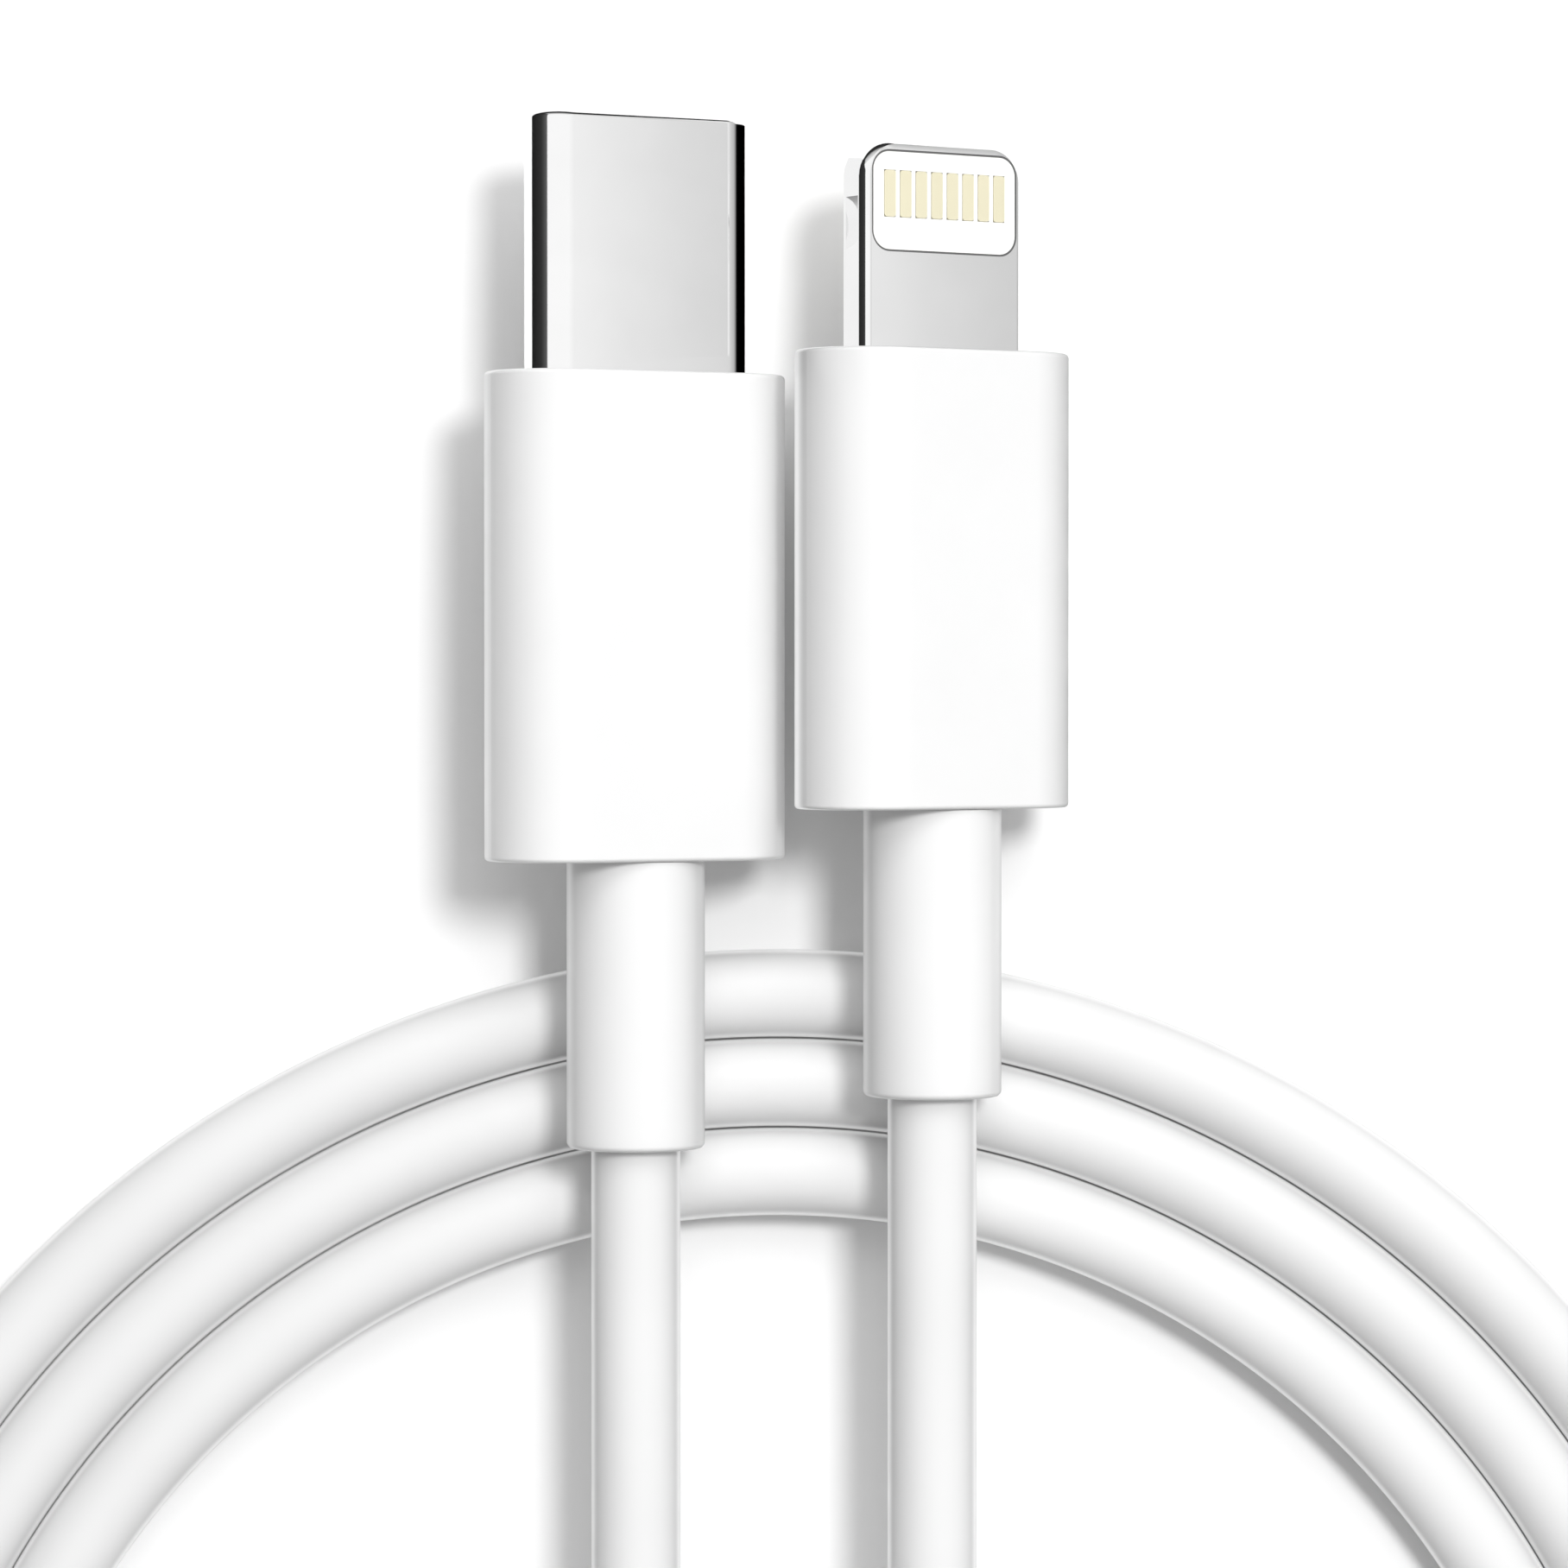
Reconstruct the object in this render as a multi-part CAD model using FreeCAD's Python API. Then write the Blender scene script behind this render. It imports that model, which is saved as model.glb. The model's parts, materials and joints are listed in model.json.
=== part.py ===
"""Coiled charging cable: a reversible oval plug at one end and a flat eight-contact tab plug at the other.

The cable lies in a three-turn coil on a surface at z = 0. Row frame, in millimetres: the origin is the
centre of the coil on that surface, +Y runs from the coil towards both plug tips, +Z points up.
Both cable ends leave the inside of the coil, run along +Y over its far side and end in a plug, so the
plugs lie side by side. The cable's own frame is a heading, an up direction and a left direction.
"""

import FreeCAD, Part
import math
import os

V = FreeCAD.Vector
OUT = "parts"
TINY = 1e-6

# ------------------------------------------------------------------ cable
CABLE_LENGTH = 1000.0      # from plug tip to plug tip, along the cable
JACKET_R = 1.55            # outside of the jacket
JACKET_BORE = 1.15
BRAID_R = 1.05             # tinned copper braid under the jacket
BRAID_BORE = 0.93
WIRE_R = 0.24              # each insulated conductor
WIRE_LAY_R = 0.55          # the five conductors stand on this circle
WIRE_NAMES = ("power", "ground", "data_plus", "data_minus", "channel")

# ------------------------------------------------------------------- coil
COIL_OUTER_R = 37.7        # outside of the outermost turn, on the end arcs
SIDE_GAP = 0.04            # between turns along the straight sides
END_GAP = 0.03             # extra gap between turns at the far end of the coil
CROSSING_GAP = 0.1         # between the outer turn and the turns that it climbs over
CLIMB_R = 12.0             # radius of every up or down bend in the cable
LEAD_SPACING = 10.3        # between the two plug axes
LEAD_SHIFT = 0.2           # the pair of plugs stands this far to +X of the coil's centre line

# ------------------------------------------------------------ strain relief
BOOT_R = 2.4
BOOT_LENGTH = 10.0
BOOT_BORE = 1.6
BOOT_NECK_R = 2.0          # the part of the boot that passes through the cover's tail wall
BOOT_PIVOT = 3.0           # the boot bends this far from its tail face
BOOT_EDGE = 0.18           # rounding of the tail face's rim
BOOT_OVER = 0.15           # the boots clear the turns of cable below them by this much
PLUG_AXIS_Z = 2 * JACKET_R + BOOT_OVER + BOOT_R

# ------------------------------------------------------------- joint places
LIFT_FIRST = 5.0           # first lift hinge, past the end of the lead's turn
LIFT_STEP = 9.0            # second lift hinge, past the first
TWIST_BACK = 12.0          # twist joint, behind the boot's tail face
SWING_BACK = 2.4           # sideways hinge, behind the boot's tail face
LIFT_ANGLE = 30.0          # travel of each lift hinge, in degrees
SWING_ANGLE = 40.0
BEND_ANGLE = 45.0
JOINT_MARGIN = 0.03        # added to the clearance that the travel needs

# --------------------------------------------------- oval plug (24 contacts)
OVAL_ROLL = 27.3           # the plug lies rolled about its own axis, in degrees
OVAL_TAIL_FROM_ARC = 31.0      # boot's tail face, from the centre of the coil's far arcs
OVAL_COVER = (11.0, 5.2, 16.85)     # width, thickness, length
SHELL_W = 8.25
SHELL_T = 2.40
SHELL_WALL = 0.25
SHELL_RIM = 0.22           # rounding of the outside of the shell's mouth
SHELL_REACH = 8.9          # how far the metal shell stands out of the cover
SHELL_REAR = 14.6          # the shell's rear edge, from the cover's tail face
OVAL_PITCH = 0.5           # between contacts
OVAL_ROW = 12              # contacts in each of the two rows

# -------------------------------------------------- tab plug (8 contacts a side)
TAB_ROLL = 32.7
TAB_TAIL_FROM_ARC = 32.8
TAB_COVER = (10.4, 5.2, 15.8)
TAB_W = 6.7
TAB_T = 1.5
TAB_REACH = 7.2            # how far the tab stands out of the cover
TAB_CORNER = 1.25          # corner radius at the tip
TAB_EDGE = 0.32            # rounding of the long edges
TAB_PITCH = 0.65
TAB_ROW = 8

# -------------------------------------------------------- inside both covers
COVER_WALL = 0.6
COVER_END = 0.8            # thickness of the cover's two end walls
COVER_EDGE = 0.15          # rounding of the cover's two outer rims
MOULD_GAP = 0.05           # between the moulded parts of a plug
CAN_WALL = 0.2             # the two shield cans round the circuit board
CAN_T = 3.3
CAN_Y = 4.0                # rear face of the shield cans
CAN_SEAM = 0.04            # between the front can and the back can
FERRULE_R = 1.8            # crimp ferrule round the jacket's end
FERRULE_BORE = 1.6
FERRULE_Y = (1.0, 3.75)
CRIMP_Y = (2.2, 2.5)       # crimp groove round the ferrule
CRIMP_DEPTH = 0.08
JACKET_END = 3.6           # the jacket ends here, inside the crimp ferrule
BOARD_REAR = 5.1           # rear edge of both circuit boards
CABLE_PAD_Y = 6.2          # the conductors end on the board here
PAD_BEND_Y = 5.0           # and come level with the board's surface here
CABLE_PADS = ((0.0, 1), (1.9, 1), (1.2, -1), (-1.2, -1), (-1.9, 1))     # x, and side of the board
SOLDER = 0.02              # gap under whatever is soldered to a board
BEYOND = 1.0               # cutting shapes run this far past what they cut

# ------------------------------------------------- places worked out from those
PITCH_SIDE = 2 * JACKET_R + SIDE_GAP
TURN_R = [COIL_OUTER_R - JACKET_R - k * PITCH_SIDE for k in range(3)]   # outer, middle, inner
FLOOR_Z = JACKET_R
CROSS_Z = FLOOR_Z + 2 * JACKET_R + CROSSING_GAP
OVAL_X = LEAD_SHIFT - LEAD_SPACING / 2
TAB_X = LEAD_SHIFT + LEAD_SPACING / 2


# ====================================================================== solids
def box(x0, x1, y0, y1, z0, z1):
    return Part.makeBox(x1 - x0, y1 - y0, z1 - z0, V(x0, y0, z0))


def rod(radius, y0, y1):
    """Cylinder on the Y axis."""
    return Part.makeCylinder(radius, y1 - y0, V(0, y0, 0), V(0, 1, 0))


def ball(radius, y=0.0):
    return Part.makeSphere(radius, V(0, y, 0))


def rounded_outline(width, height, radius):
    """Closed wire in the XZ plane, centred on the axis. A radius of half the height gives a stadium."""
    a = width / 2 - radius
    b = height / 2 - radius
    corners = [(a, b, 0), (-a, b, 90), (-a, -b, 180), (a, -b, 270)]
    arcs = []
    for cx, cz, start in corners:
        points = []
        for angle in (start, start + 45, start + 90):
            rad = math.radians(angle)
            points.append(V(cx + radius * math.cos(rad), 0, cz + radius * math.sin(rad)))
        arcs.append(points)
    edges = []
    for k, points in enumerate(arcs):
        edges.append(Part.Arc(*points).toShape())
        start_next = arcs[(k + 1) % 4][0]
        if points[2].distanceToPoint(start_next) > TINY:
            edges.append(Part.LineSegment(points[2], start_next).toShape())
    return Part.Wire(edges)


def bar(width, height, radius, y0, y1):
    """Straight bar along Y with a rounded-rectangle section."""
    face = Part.Face(rounded_outline(width, height, radius))
    face.translate(V(0, y0, 0))
    return face.extrude(V(0, y1 - y0, 0))


def stadium(width, height, y0, y1):
    """Bar with half-round sides, which keep a sliver of flat so that every face stays simple."""
    return bar(width, height, height / 2 - 100 * TINY, y0, y1)


def plate(width, y0, y1, radius, z0, z1):
    """Flat plate seen from above as a rounded rectangle."""
    x = width / 2
    solid = box(-x, x, y0, y1, z0, z1)
    upright = [e for e in solid.Edges if abs(e.tangentAt(e.FirstParameter).z) > 0.9]
    return solid.makeFillet(radius, upright)


def ribbon(points, thickness, width, x, flip=1):
    """Thin strip: points are (y, z) along its lower side, it is thickness thick and width wide about x."""
    upper = [(y, z + thickness) for y, z in reversed(points)]
    outline = [V(x - width / 2, y, flip * z) for y, z in list(points) + upper]
    face = Part.Face(Part.makePolygon(outline + outline[:1]))
    return face.extrude(V(width, 0, 0))


def round_ends(solid, length, radius):
    """Rounds the outer rims of a bar that runs from y = 0 to y = length."""
    rims = []
    for edge in solid.Edges:
        ys = [v.Y for v in edge.Vertexes]
        if max(ys) < TINY or min(ys) > length - TINY:
            rims.append(edge)
    return solid.makeFillet(radius, rims)


def group(solids):
    return Part.makeCompound([s for shape in solids for s in shape.Solids])


def one(shape):
    """The single solid that shape must hold."""
    solids = shape.Solids
    if len(solids) != 1:
        raise ValueError("expected one solid, found %d" % len(solids))
    return solids[0]


def ball_clearance(radius, angle):
    """Gap round a ball of that radius that lets both tubes turn by angle degrees without touching."""
    return radius / math.cos(math.radians(angle / 2)) - radius + JOINT_MARGIN


# ================================================================ cable routes
def follow(route, start, heading, across=0.0, above=0.0):
    """Wire along route. route is a list of ("line", length), ("turn", radius, degrees to the left) and
    ("climb", radius, degrees nose up). across and above offset the wire to the cable's left and upwards."""
    place, t, u = V(start), V(heading), V(0, 0, 1)
    edges = []
    for move in route:
        left = u.cross(t)
        first = place + left * across + u * above
        if move[0] == "line":
            place = place + t * move[1]
            edges.append(Part.LineSegment(first, place + left * across + u * above).toShape())
            continue
        kind, radius, angle = move
        side = 1 if angle > 0 else -1
        towards, axis = (left, u) if kind == "turn" else (u, t.cross(u))
        centre = place + towards * (side * radius)
        points = [first]
        for share in (0.5, 1.0):
            turn = FreeCAD.Rotation(axis, angle * share)
            moved = centre + turn.multVec(place - centre)
            t_now, u_now = turn.multVec(t), turn.multVec(u)
            points.append(moved + u_now.cross(t_now) * across + u_now * above)
        edges.append(Part.Arc(*points).toShape())
        place, t, u = moved, t_now, u_now
    return Part.Wire(edges)


def route_length(route):
    total = 0.0
    for move in route:
        total += move[1] if move[0] == "line" else move[1] * math.radians(abs(move[2]))
    return total


def sweep(wire, radius, bore=0.0):
    edge = wire.Edges[0]
    start, direction = edge.valueAt(edge.FirstParameter), edge.tangentAt(edge.FirstParameter)
    face = Part.Face(Part.Wire(Part.makeCircle(radius, start, direction)))
    if bore:
        face = face.cut(Part.Face(Part.Wire(Part.makeCircle(bore, start, direction)))).Faces[0]
    return wire.makePipe(face)


def climb(height):
    """Two opposite bends that lift the cable by height, and the length that they take along the heading."""
    angle = math.degrees(math.acos(1 - height / (2 * CLIMB_R)))
    moves = [("climb", CLIMB_R, angle), ("climb", CLIMB_R, -angle)]
    return moves, 2 * CLIMB_R * math.sin(math.radians(angle))


def coil_route(side):
    """From the oval plug's first lift hinge, round the coil, to the tab plug's first lift hinge."""
    outer, middle, inner = TURN_R
    rise, rise_length = climb(CROSS_Z - FLOOR_Z)
    return [
        ("line", LIFT_FIRST),
        ("turn", (inner + OVAL_X) / 2, -180),
        ("line", side - 2 * END_GAP),
        ("turn", inner, -180),
        ("line", side - 2 * END_GAP),
        ("turn", (inner + middle) / 2, -180),
        ("line", side - END_GAP),
        ("turn", middle, -180),
        ("line", side - END_GAP),
        ("turn", (middle + outer) / 2, -180),
        ("line", side),
        ("turn", outer, -180),
        ("line", side / 2 - rise_length / 2),
        *rise,
        ("line", side / 2 - rise_length / 2),
        ("turn", (outer - TAB_X) / 2, -180),
        ("line", LIFT_FIRST),
    ]


def lead_length(side, tail_from_arc):
    """Along +Y, from a lead's first lift hinge to its boot's tail face."""
    return side + tail_from_arc - LIFT_FIRST


def cable_length(side):
    """Plug tip to plug tip. Each climb adds its own extra over its straight length."""
    total = route_length(coil_route(side))
    for start_z, tail, cover, reach in (
        (FLOOR_Z, OVAL_TAIL_FROM_ARC, OVAL_COVER, SHELL_REACH),
        (CROSS_Z, TAB_TAIL_FROM_ARC, TAB_COVER, TAB_REACH),
    ):
        rise, straight = climb(PLUG_AXIS_Z - start_z)
        total += lead_length(side, tail) + route_length(rise) - straight
        total += BOOT_LENGTH + cover[2] + reach
    return total


# The coil's straight sides take up whatever cable length the turns and the leads leave.
SIDE = (CABLE_LENGTH - cable_length(0.0)) / (cable_length(1.0) - cable_length(0.0))
FAR_ARC_Y = SIDE / 2
NEAR_ARC_Y = -SIDE / 2


def coil_parts():
    """Jacket, braid and five conductors of the coiled stretch."""
    route = coil_route(SIDE)
    start = V(OVAL_X, NEAR_ARC_Y + LIFT_FIRST, FLOOR_Z)
    end = V(TAB_X, NEAR_ARC_Y + LIFT_FIRST, CROSS_Z)
    heading = V(0, -1, 0)
    socket = JACKET_R + ball_clearance(JACKET_R, LIFT_ANGLE)
    cutter = Part.makeSphere(socket, start).fuse(Part.makeSphere(socket, end))
    centre = follow(route, start, heading)
    parts = {
        "coil_jacket": one(sweep(centre, JACKET_R, JACKET_BORE).cut(cutter)),
        "coil_braid": one(sweep(centre, BRAID_R, BRAID_BORE).cut(cutter)),
    }
    for k, name in enumerate(WIRE_NAMES):
        angle = math.radians(90 + 72 * k)
        wire = follow(route, start, heading, WIRE_LAY_R * math.cos(angle), WIRE_LAY_R * math.sin(angle))
        parts["coil_%s_wire" % name] = one(sweep(wire, WIRE_R).cut(cutter))
    return parts


def ball_started(solid, bore, radius, ball_r):
    """Adds to a tube or rod that starts at y = 0 the stretch behind it that fits inside a ball there."""
    stub = rod(radius, -ball_r - BEYOND, 0)
    if bore:
        stub = stub.cut(rod(bore, -ball_r - 2 * BEYOND, BEYOND))
    return one(solid.fuse(stub.common(ball(ball_r))).removeSplitter())


def lead_piece(route, radius, bore, start_ball, end_ball, end_gap):
    """One stretch of cable from its own ball joint at the origin, heading +Y, to the next joint's socket."""
    wire = follow(route, V(0, 0, 0), V(0, 1, 0))
    last = wire.Edges[-1]
    end = last.valueAt(last.LastParameter)
    solid = ball_started(sweep(wire, radius, bore), bore, radius, start_ball)
    return one(solid.cut(Part.makeSphere(end_ball + end_gap, end)))


def lead_parts(prefix, x, start_z, tail_y):
    """The stretches of one lead between its joints, from the coil to the boot."""
    first_y = NEAR_ARC_Y + LIFT_FIRST
    second_y = first_y + LIFT_STEP
    twist_y = tail_y - TWIST_BACK
    swing_y = tail_y - SWING_BACK
    bend_y = tail_y + BOOT_PIVOT
    rise, rise_length = climb(PLUG_AXIS_Z - start_z)
    flat = (twist_y - second_y - rise_length) / 2
    lift_gap = ball_clearance(JACKET_R, LIFT_ANGLE)
    swing_gap = ball_clearance(JACKET_R, SWING_ANGLE)
    bend_gap = ball_clearance(BOOT_R, BEND_ANGLE)
    stretches = [
        ("lead_start", first_y, start_z, [("line", LIFT_STEP)], JACKET_R, lift_gap),
        ("lead", second_y, start_z, [("line", flat), *rise, ("line", flat)], JACKET_R, JOINT_MARGIN),
        ("neck", twist_y, PLUG_AXIS_Z, [("line", swing_y - twist_y)], JACKET_R, swing_gap),
        ("boot_tail", swing_y, PLUG_AXIS_Z, [("line", bend_y - swing_y)], BOOT_R, bend_gap),
    ]
    parts = {}
    for name, y, z, route, end_ball, gap in stretches:
        for layer, radius, bore in (("jacket", JACKET_R, JACKET_BORE), ("core", BRAID_R, 0.0)):
            solid = lead_piece(route, radius, bore, JACKET_R, end_ball, gap)
            solid.translate(V(x, y, z))
            parts["%s_%s_%s" % (prefix, name, layer)] = solid
    sleeve = rod(BOOT_R, 0, BOOT_PIVOT)
    rim = [e for e in sleeve.Edges if max(v.Y for v in e.Vertexes) < TINY]
    sleeve = sleeve.makeFillet(BOOT_EDGE, rim)
    sleeve = sleeve.cut(rod(BOOT_BORE, -BEYOND, BOOT_PIVOT + BEYOND))
    sleeve = one(sleeve.cut(ball(BOOT_R + bend_gap, BOOT_PIVOT)))
    sleeve.translate(V(x, tail_y, PLUG_AXIS_Z))
    parts["%s_boot_tail" % prefix] = sleeve
    return parts


# ============================================== what both plugs have in common
# From here every plug part is made in the plug's frame: the cover's tail face is at y = 0, the tip points
# along +Y, the width runs along X and the thickness along Z.
BEND_Y = BOOT_PIVOT - BOOT_LENGTH      # the boot's own bending point


def slab(width, y0, y1, thick):
    """Flat block centred on the plug's axis."""
    return box(-width / 2, width / 2, y0, y1, -thick / 2, thick / 2)


def past_bend(solid):
    """What the boot's ball and everything in front of the bending point keep of a solid."""
    wide = 4 * BOOT_LENGTH
    return solid.common(ball(BOOT_R, BEND_Y).fuse(slab(wide, BEND_Y, wide, wide)))


def boot():
    solid = past_bend(rod(BOOT_R, BEND_Y - BOOT_R, -MOULD_GAP))
    solid = solid.fuse(rod(BOOT_NECK_R, -BOOT_R, COVER_END + MOULD_GAP)).removeSplitter()
    return one(solid.cut(rod(BOOT_BORE, BEND_Y - BOOT_R - BEYOND, COVER_END + BEYOND)))


def cover(size, opening):
    """Hollow cover. opening is the solid that passes through its front wall."""
    width, thick, length = size
    outer = round_ends(stadium(width, thick, 0, length), length, COVER_EDGE)
    inside = stadium(width - 2 * COVER_WALL, thick - 2 * COVER_WALL, COVER_END, length - COVER_END)
    tail_hole = rod(BOOT_NECK_R + MOULD_GAP, -BEYOND, COVER_END + BEYOND)
    return one(outer.cut(inside).cut(tail_hole).cut(opening))


def inner_mould(size, can_w, can_front_y, connector):
    """Filling between the cover and the cans. connector is the room for what comes out at the front."""
    width, thick, length = size
    w = width - 2 * COVER_WALL - 2 * MOULD_GAP
    t = thick - 2 * COVER_WALL - 2 * MOULD_GAP
    solid = stadium(w, t, COVER_END + 2 * MOULD_GAP, length - COVER_END - MOULD_GAP)
    can_rear = CAN_Y - MOULD_GAP
    room = stadium(can_w + 2 * MOULD_GAP, CAN_T + 2 * MOULD_GAP, can_rear, can_front_y + 2 * MOULD_GAP)
    solid = solid.cut(room)
    solid = solid.cut(rod(FERRULE_R + MOULD_GAP, 0, can_rear + MOULD_GAP))
    return one(solid.cut(connector))


def shield_cans(width, front_y):
    """Two half cans that close round the circuit board, split along the plug's mid plane."""
    can = stadium(width, CAN_T, CAN_Y, front_y)
    inner_w, inner_t = width - 2 * CAN_WALL, CAN_T - 2 * CAN_WALL
    can = can.cut(stadium(inner_w, inner_t, CAN_Y + CAN_WALL, front_y + BEYOND))
    can = can.cut(rod(BRAID_R, CAN_Y - BEYOND, CAN_Y + BEYOND))
    half_w, half_seam = width / 2 + BEYOND, CAN_SEAM / 2
    y0, y1 = CAN_Y - BEYOND, front_y + BEYOND
    front = can.common(box(-half_w, half_w, y0, y1, half_seam, CAN_T))
    back = can.common(box(-half_w, half_w, y0, y1, -CAN_T, -half_seam))
    return one(front), one(back)


def ferrule():
    tube = rod(FERRULE_R, *FERRULE_Y).cut(rod(FERRULE_BORE, FERRULE_Y[0] - BEYOND, FERRULE_Y[1] + BEYOND))
    kept = rod(FERRULE_R - CRIMP_DEPTH, CRIMP_Y[0] - BEYOND, CRIMP_Y[1] + BEYOND)
    groove = rod(FERRULE_R + BEYOND, *CRIMP_Y).cut(kept)
    return one(tube.cut(groove))


def jacket_end():
    rear = BEND_Y - BOOT_R
    tube = rod(JACKET_R, rear, JACKET_END).cut(rod(JACKET_BORE, rear - BEYOND, JACKET_END + BEYOND))
    return one(past_bend(tube))


def bent_wire(points):
    """Round conductor through points, with a ball at each corner."""
    solid = None
    for a, b in zip(points, points[1:]):
        piece = Part.makeCylinder(WIRE_R, (b - a).Length, a, b - a)
        piece = piece.fuse(Part.makeSphere(WIRE_R, b))
        solid = piece if solid is None else solid.fuse(piece)
    return solid


def wire_ends(board_t):
    """The five conductors, from the boot's bending point to their pads on both sides of the board."""
    wires = []
    for k, (pad_x, side) in enumerate(CABLE_PADS):
        angle = math.radians(90 + 72 * k)
        x, z = -WIRE_LAY_R * math.cos(angle), WIRE_LAY_R * math.sin(angle)
        pad_z = side * (board_t / 2 + WIRE_R + SOLDER)
        corners = [
            V(x, BEND_Y - BOOT_R, z), V(x, CAN_Y + CAN_WALL, z),
            V(pad_x, PAD_BEND_Y, pad_z), V(pad_x, CABLE_PAD_Y, pad_z),
        ]
        wires.append(past_bend(bent_wire(corners)))
    return group(wires)


def chips(board_t, places):
    """Components on the board: (x, y, width, length, height, side)."""
    solids = []
    for x, y, w, l, h, side in places:
        z0 = board_t / 2 + SOLDER
        z1 = z0 + h
        if side < 0:
            z0, z1 = -z1, -z0
        solids.append(box(x - w / 2, x + w / 2, y - l / 2, y + l / 2, z0, z1))
    return group(solids)


def row(count, pitch):
    return [(k - (count - 1) / 2) * pitch for k in range(count)]


def both_sides(low, high):
    """The range from low to high, and its mirror image."""
    return (1, low, high), (-1, -high, -low)


# ==================================================================== oval plug
TIP_Y = OVAL_COVER[2] + SHELL_REACH
MOUTH_Y = TIP_Y - 0.45     # the insulator stands back from the shell's mouth
OVAL_CAN_W = SHELL_W + 0.5
OVAL_CAN_FRONT = 15.6
OVAL_BOARD_W = 7.4
OVAL_BOARD_T = 0.9
OVAL_BOARD_FRONT = 14.5
OVAL_CHIPS = (
    (-1.2, 9.0, 2.4, 2.4, 0.55, 1), (1.6, 8.2, 1.0, 0.5, 0.4, 1), (1.6, 9.4, 1.0, 0.5, 0.4, 1),
    (1.6, 10.6, 0.6, 0.3, 0.3, 1), (0.0, 9.0, 1.6, 0.8, 0.5, -1), (-2.0, 9.0, 0.6, 0.3, 0.3, -1),
)
INSULATOR_GAP = 0.05       # between the insulator and the shell
INSULATOR_REAR = SHELL_REAR + 0.4
TONGUE_W = 6.8             # slot that takes the socket's tongue
TONGUE_T = 0.9
TONGUE_CORNER = 0.25
TONGUE_END = 18.9          # bottom of that slot

CONTACT_T = 0.12
CONTACT_W = 0.22
CONTACT_Z = 0.50           # inner side of each contact, from the mid plane
CONTACT_ROOT = 19.6        # the spring beams start here
CONTACT_REAR = 13.0        # the fixed tails end here, on the board
# (y, z) of a beam's inner side: it slopes to a contact bump and lifts again at its tip.
BEAM = ((CONTACT_ROOT, CONTACT_Z), (23.6, 0.38), (24.0, 0.34), (24.3, 0.38), (24.7, 0.47))
BEAM_SLOT_W = 0.32
BEAM_SLOT_Z = (0.4, 0.74)
BEAM_SLOT_FRONT = 25.0
CONTACT_GAP = 0.01
ROOT_GAP = 0.15            # between a fixed tail and its beam

MID_T = 0.16               # grounded mid plate: a stem with a cross bar
MID_STEM_W = 5.0
MID_BAR_W = 7.3
MID_REAR = 14.7
MID_BAR_Y = (18.3, 18.8)
MID_GAP = 0.07             # round the plate's edges
MID_GAP_Z = 0.02

LATCH_T = 0.15
LATCH_H = 0.6
# (y, x) of a latch's inner side: it bulges inwards near its tip.
LATCH = ((18.9, 3.50), (23.4, 3.44), (24.1, 3.26), (24.5, 3.32), (25.0, 3.46))
LATCH_ROOM = (3.1, 4.0)    # its recess in the insulator, from the axis outwards
LATCH_GAP = 0.1

EMI_W = 5.8                # slotted spring plates between the insulator and the shell
EMI_Z = (0.82, 0.9)
EMI_Y = (20.1, 24.5)
EMI_GAP = 0.1
EMI_SLOT_W = 0.3
EMI_SLOT_Y = (21.0, 23.9)
EMI_SLOTS = 4
EMI_SLOT_PITCH = 1.4


def shell_section(grow, y0, y1):
    """Bar with the shell's outline, grown all round."""
    return stadium(SHELL_W + 2 * grow, SHELL_T + 2 * grow, y0, y1)


def oval_shell():
    solid = shell_section(0, SHELL_REAR, TIP_Y)
    rim = [e for e in solid.Edges if min(v.Y for v in e.Vertexes) > TIP_Y - TINY]
    solid = solid.makeFillet(SHELL_RIM, rim)
    return one(solid.cut(shell_section(-SHELL_WALL, SHELL_REAR - BEYOND, TIP_Y + BEYOND)))


def oval_insulator():
    solid = shell_section(-SHELL_WALL - INSULATOR_GAP, INSULATOR_REAR, MOUTH_Y)
    solid = solid.cut(bar(TONGUE_W, TONGUE_T, TONGUE_CORNER, TONGUE_END, MOUTH_Y + BEYOND))
    cuts = []
    half_slot = BEAM_SLOT_W / 2
    half_tail = CONTACT_W / 2 + CONTACT_GAP
    tail_z = (CONTACT_Z - CONTACT_GAP, CONTACT_Z + CONTACT_T + CONTACT_GAP)
    for x in row(OVAL_ROW, OVAL_PITCH):
        for _, low, high in both_sides(*BEAM_SLOT_Z):
            y0, y1 = CONTACT_ROOT - 2 * CONTACT_GAP, BEAM_SLOT_FRONT
            cuts.append(box(x - half_slot, x + half_slot, y0, y1, low, high))
        for _, low, high in both_sides(*tail_z):
            cuts.append(box(x - half_tail, x + half_tail, SHELL_REAR, CONTACT_ROOT, low, high))
    half = SHELL_T / 2 - SHELL_WALL - INSULATOR_GAP
    for _, low, high in both_sides(half - EMI_GAP, half + BEYOND):
        w = EMI_W / 2 + EMI_GAP
        cuts.append(box(-w, w, EMI_Y[0] - EMI_GAP, EMI_Y[1] + EMI_GAP, low, high))
    for _, low, high in both_sides(*LATCH_ROOM):
        y0, y1 = LATCH[0][0] - LATCH_GAP, LATCH[-1][0] + LATCH_GAP
        z = LATCH_H / 2 + LATCH_GAP
        cuts.append(box(low, high, y0, y1, -z, z))
    mid_t = MID_T + 2 * MID_GAP_Z
    cuts.append(slab(MID_STEM_W + 2 * MID_GAP, MID_REAR, MID_BAR_Y[0], mid_t))
    cuts.append(slab(MID_BAR_W + 2 * MID_GAP, MID_BAR_Y[0] - 2 * MID_GAP, MID_BAR_Y[1] + 2 * MID_GAP, mid_t))
    return one(solid.cut(Part.makeCompound(cuts)))


def oval_contacts(side):
    return group([ribbon(BEAM, CONTACT_T, CONTACT_W, x, side) for x in row(OVAL_ROW, OVAL_PITCH)])


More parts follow.
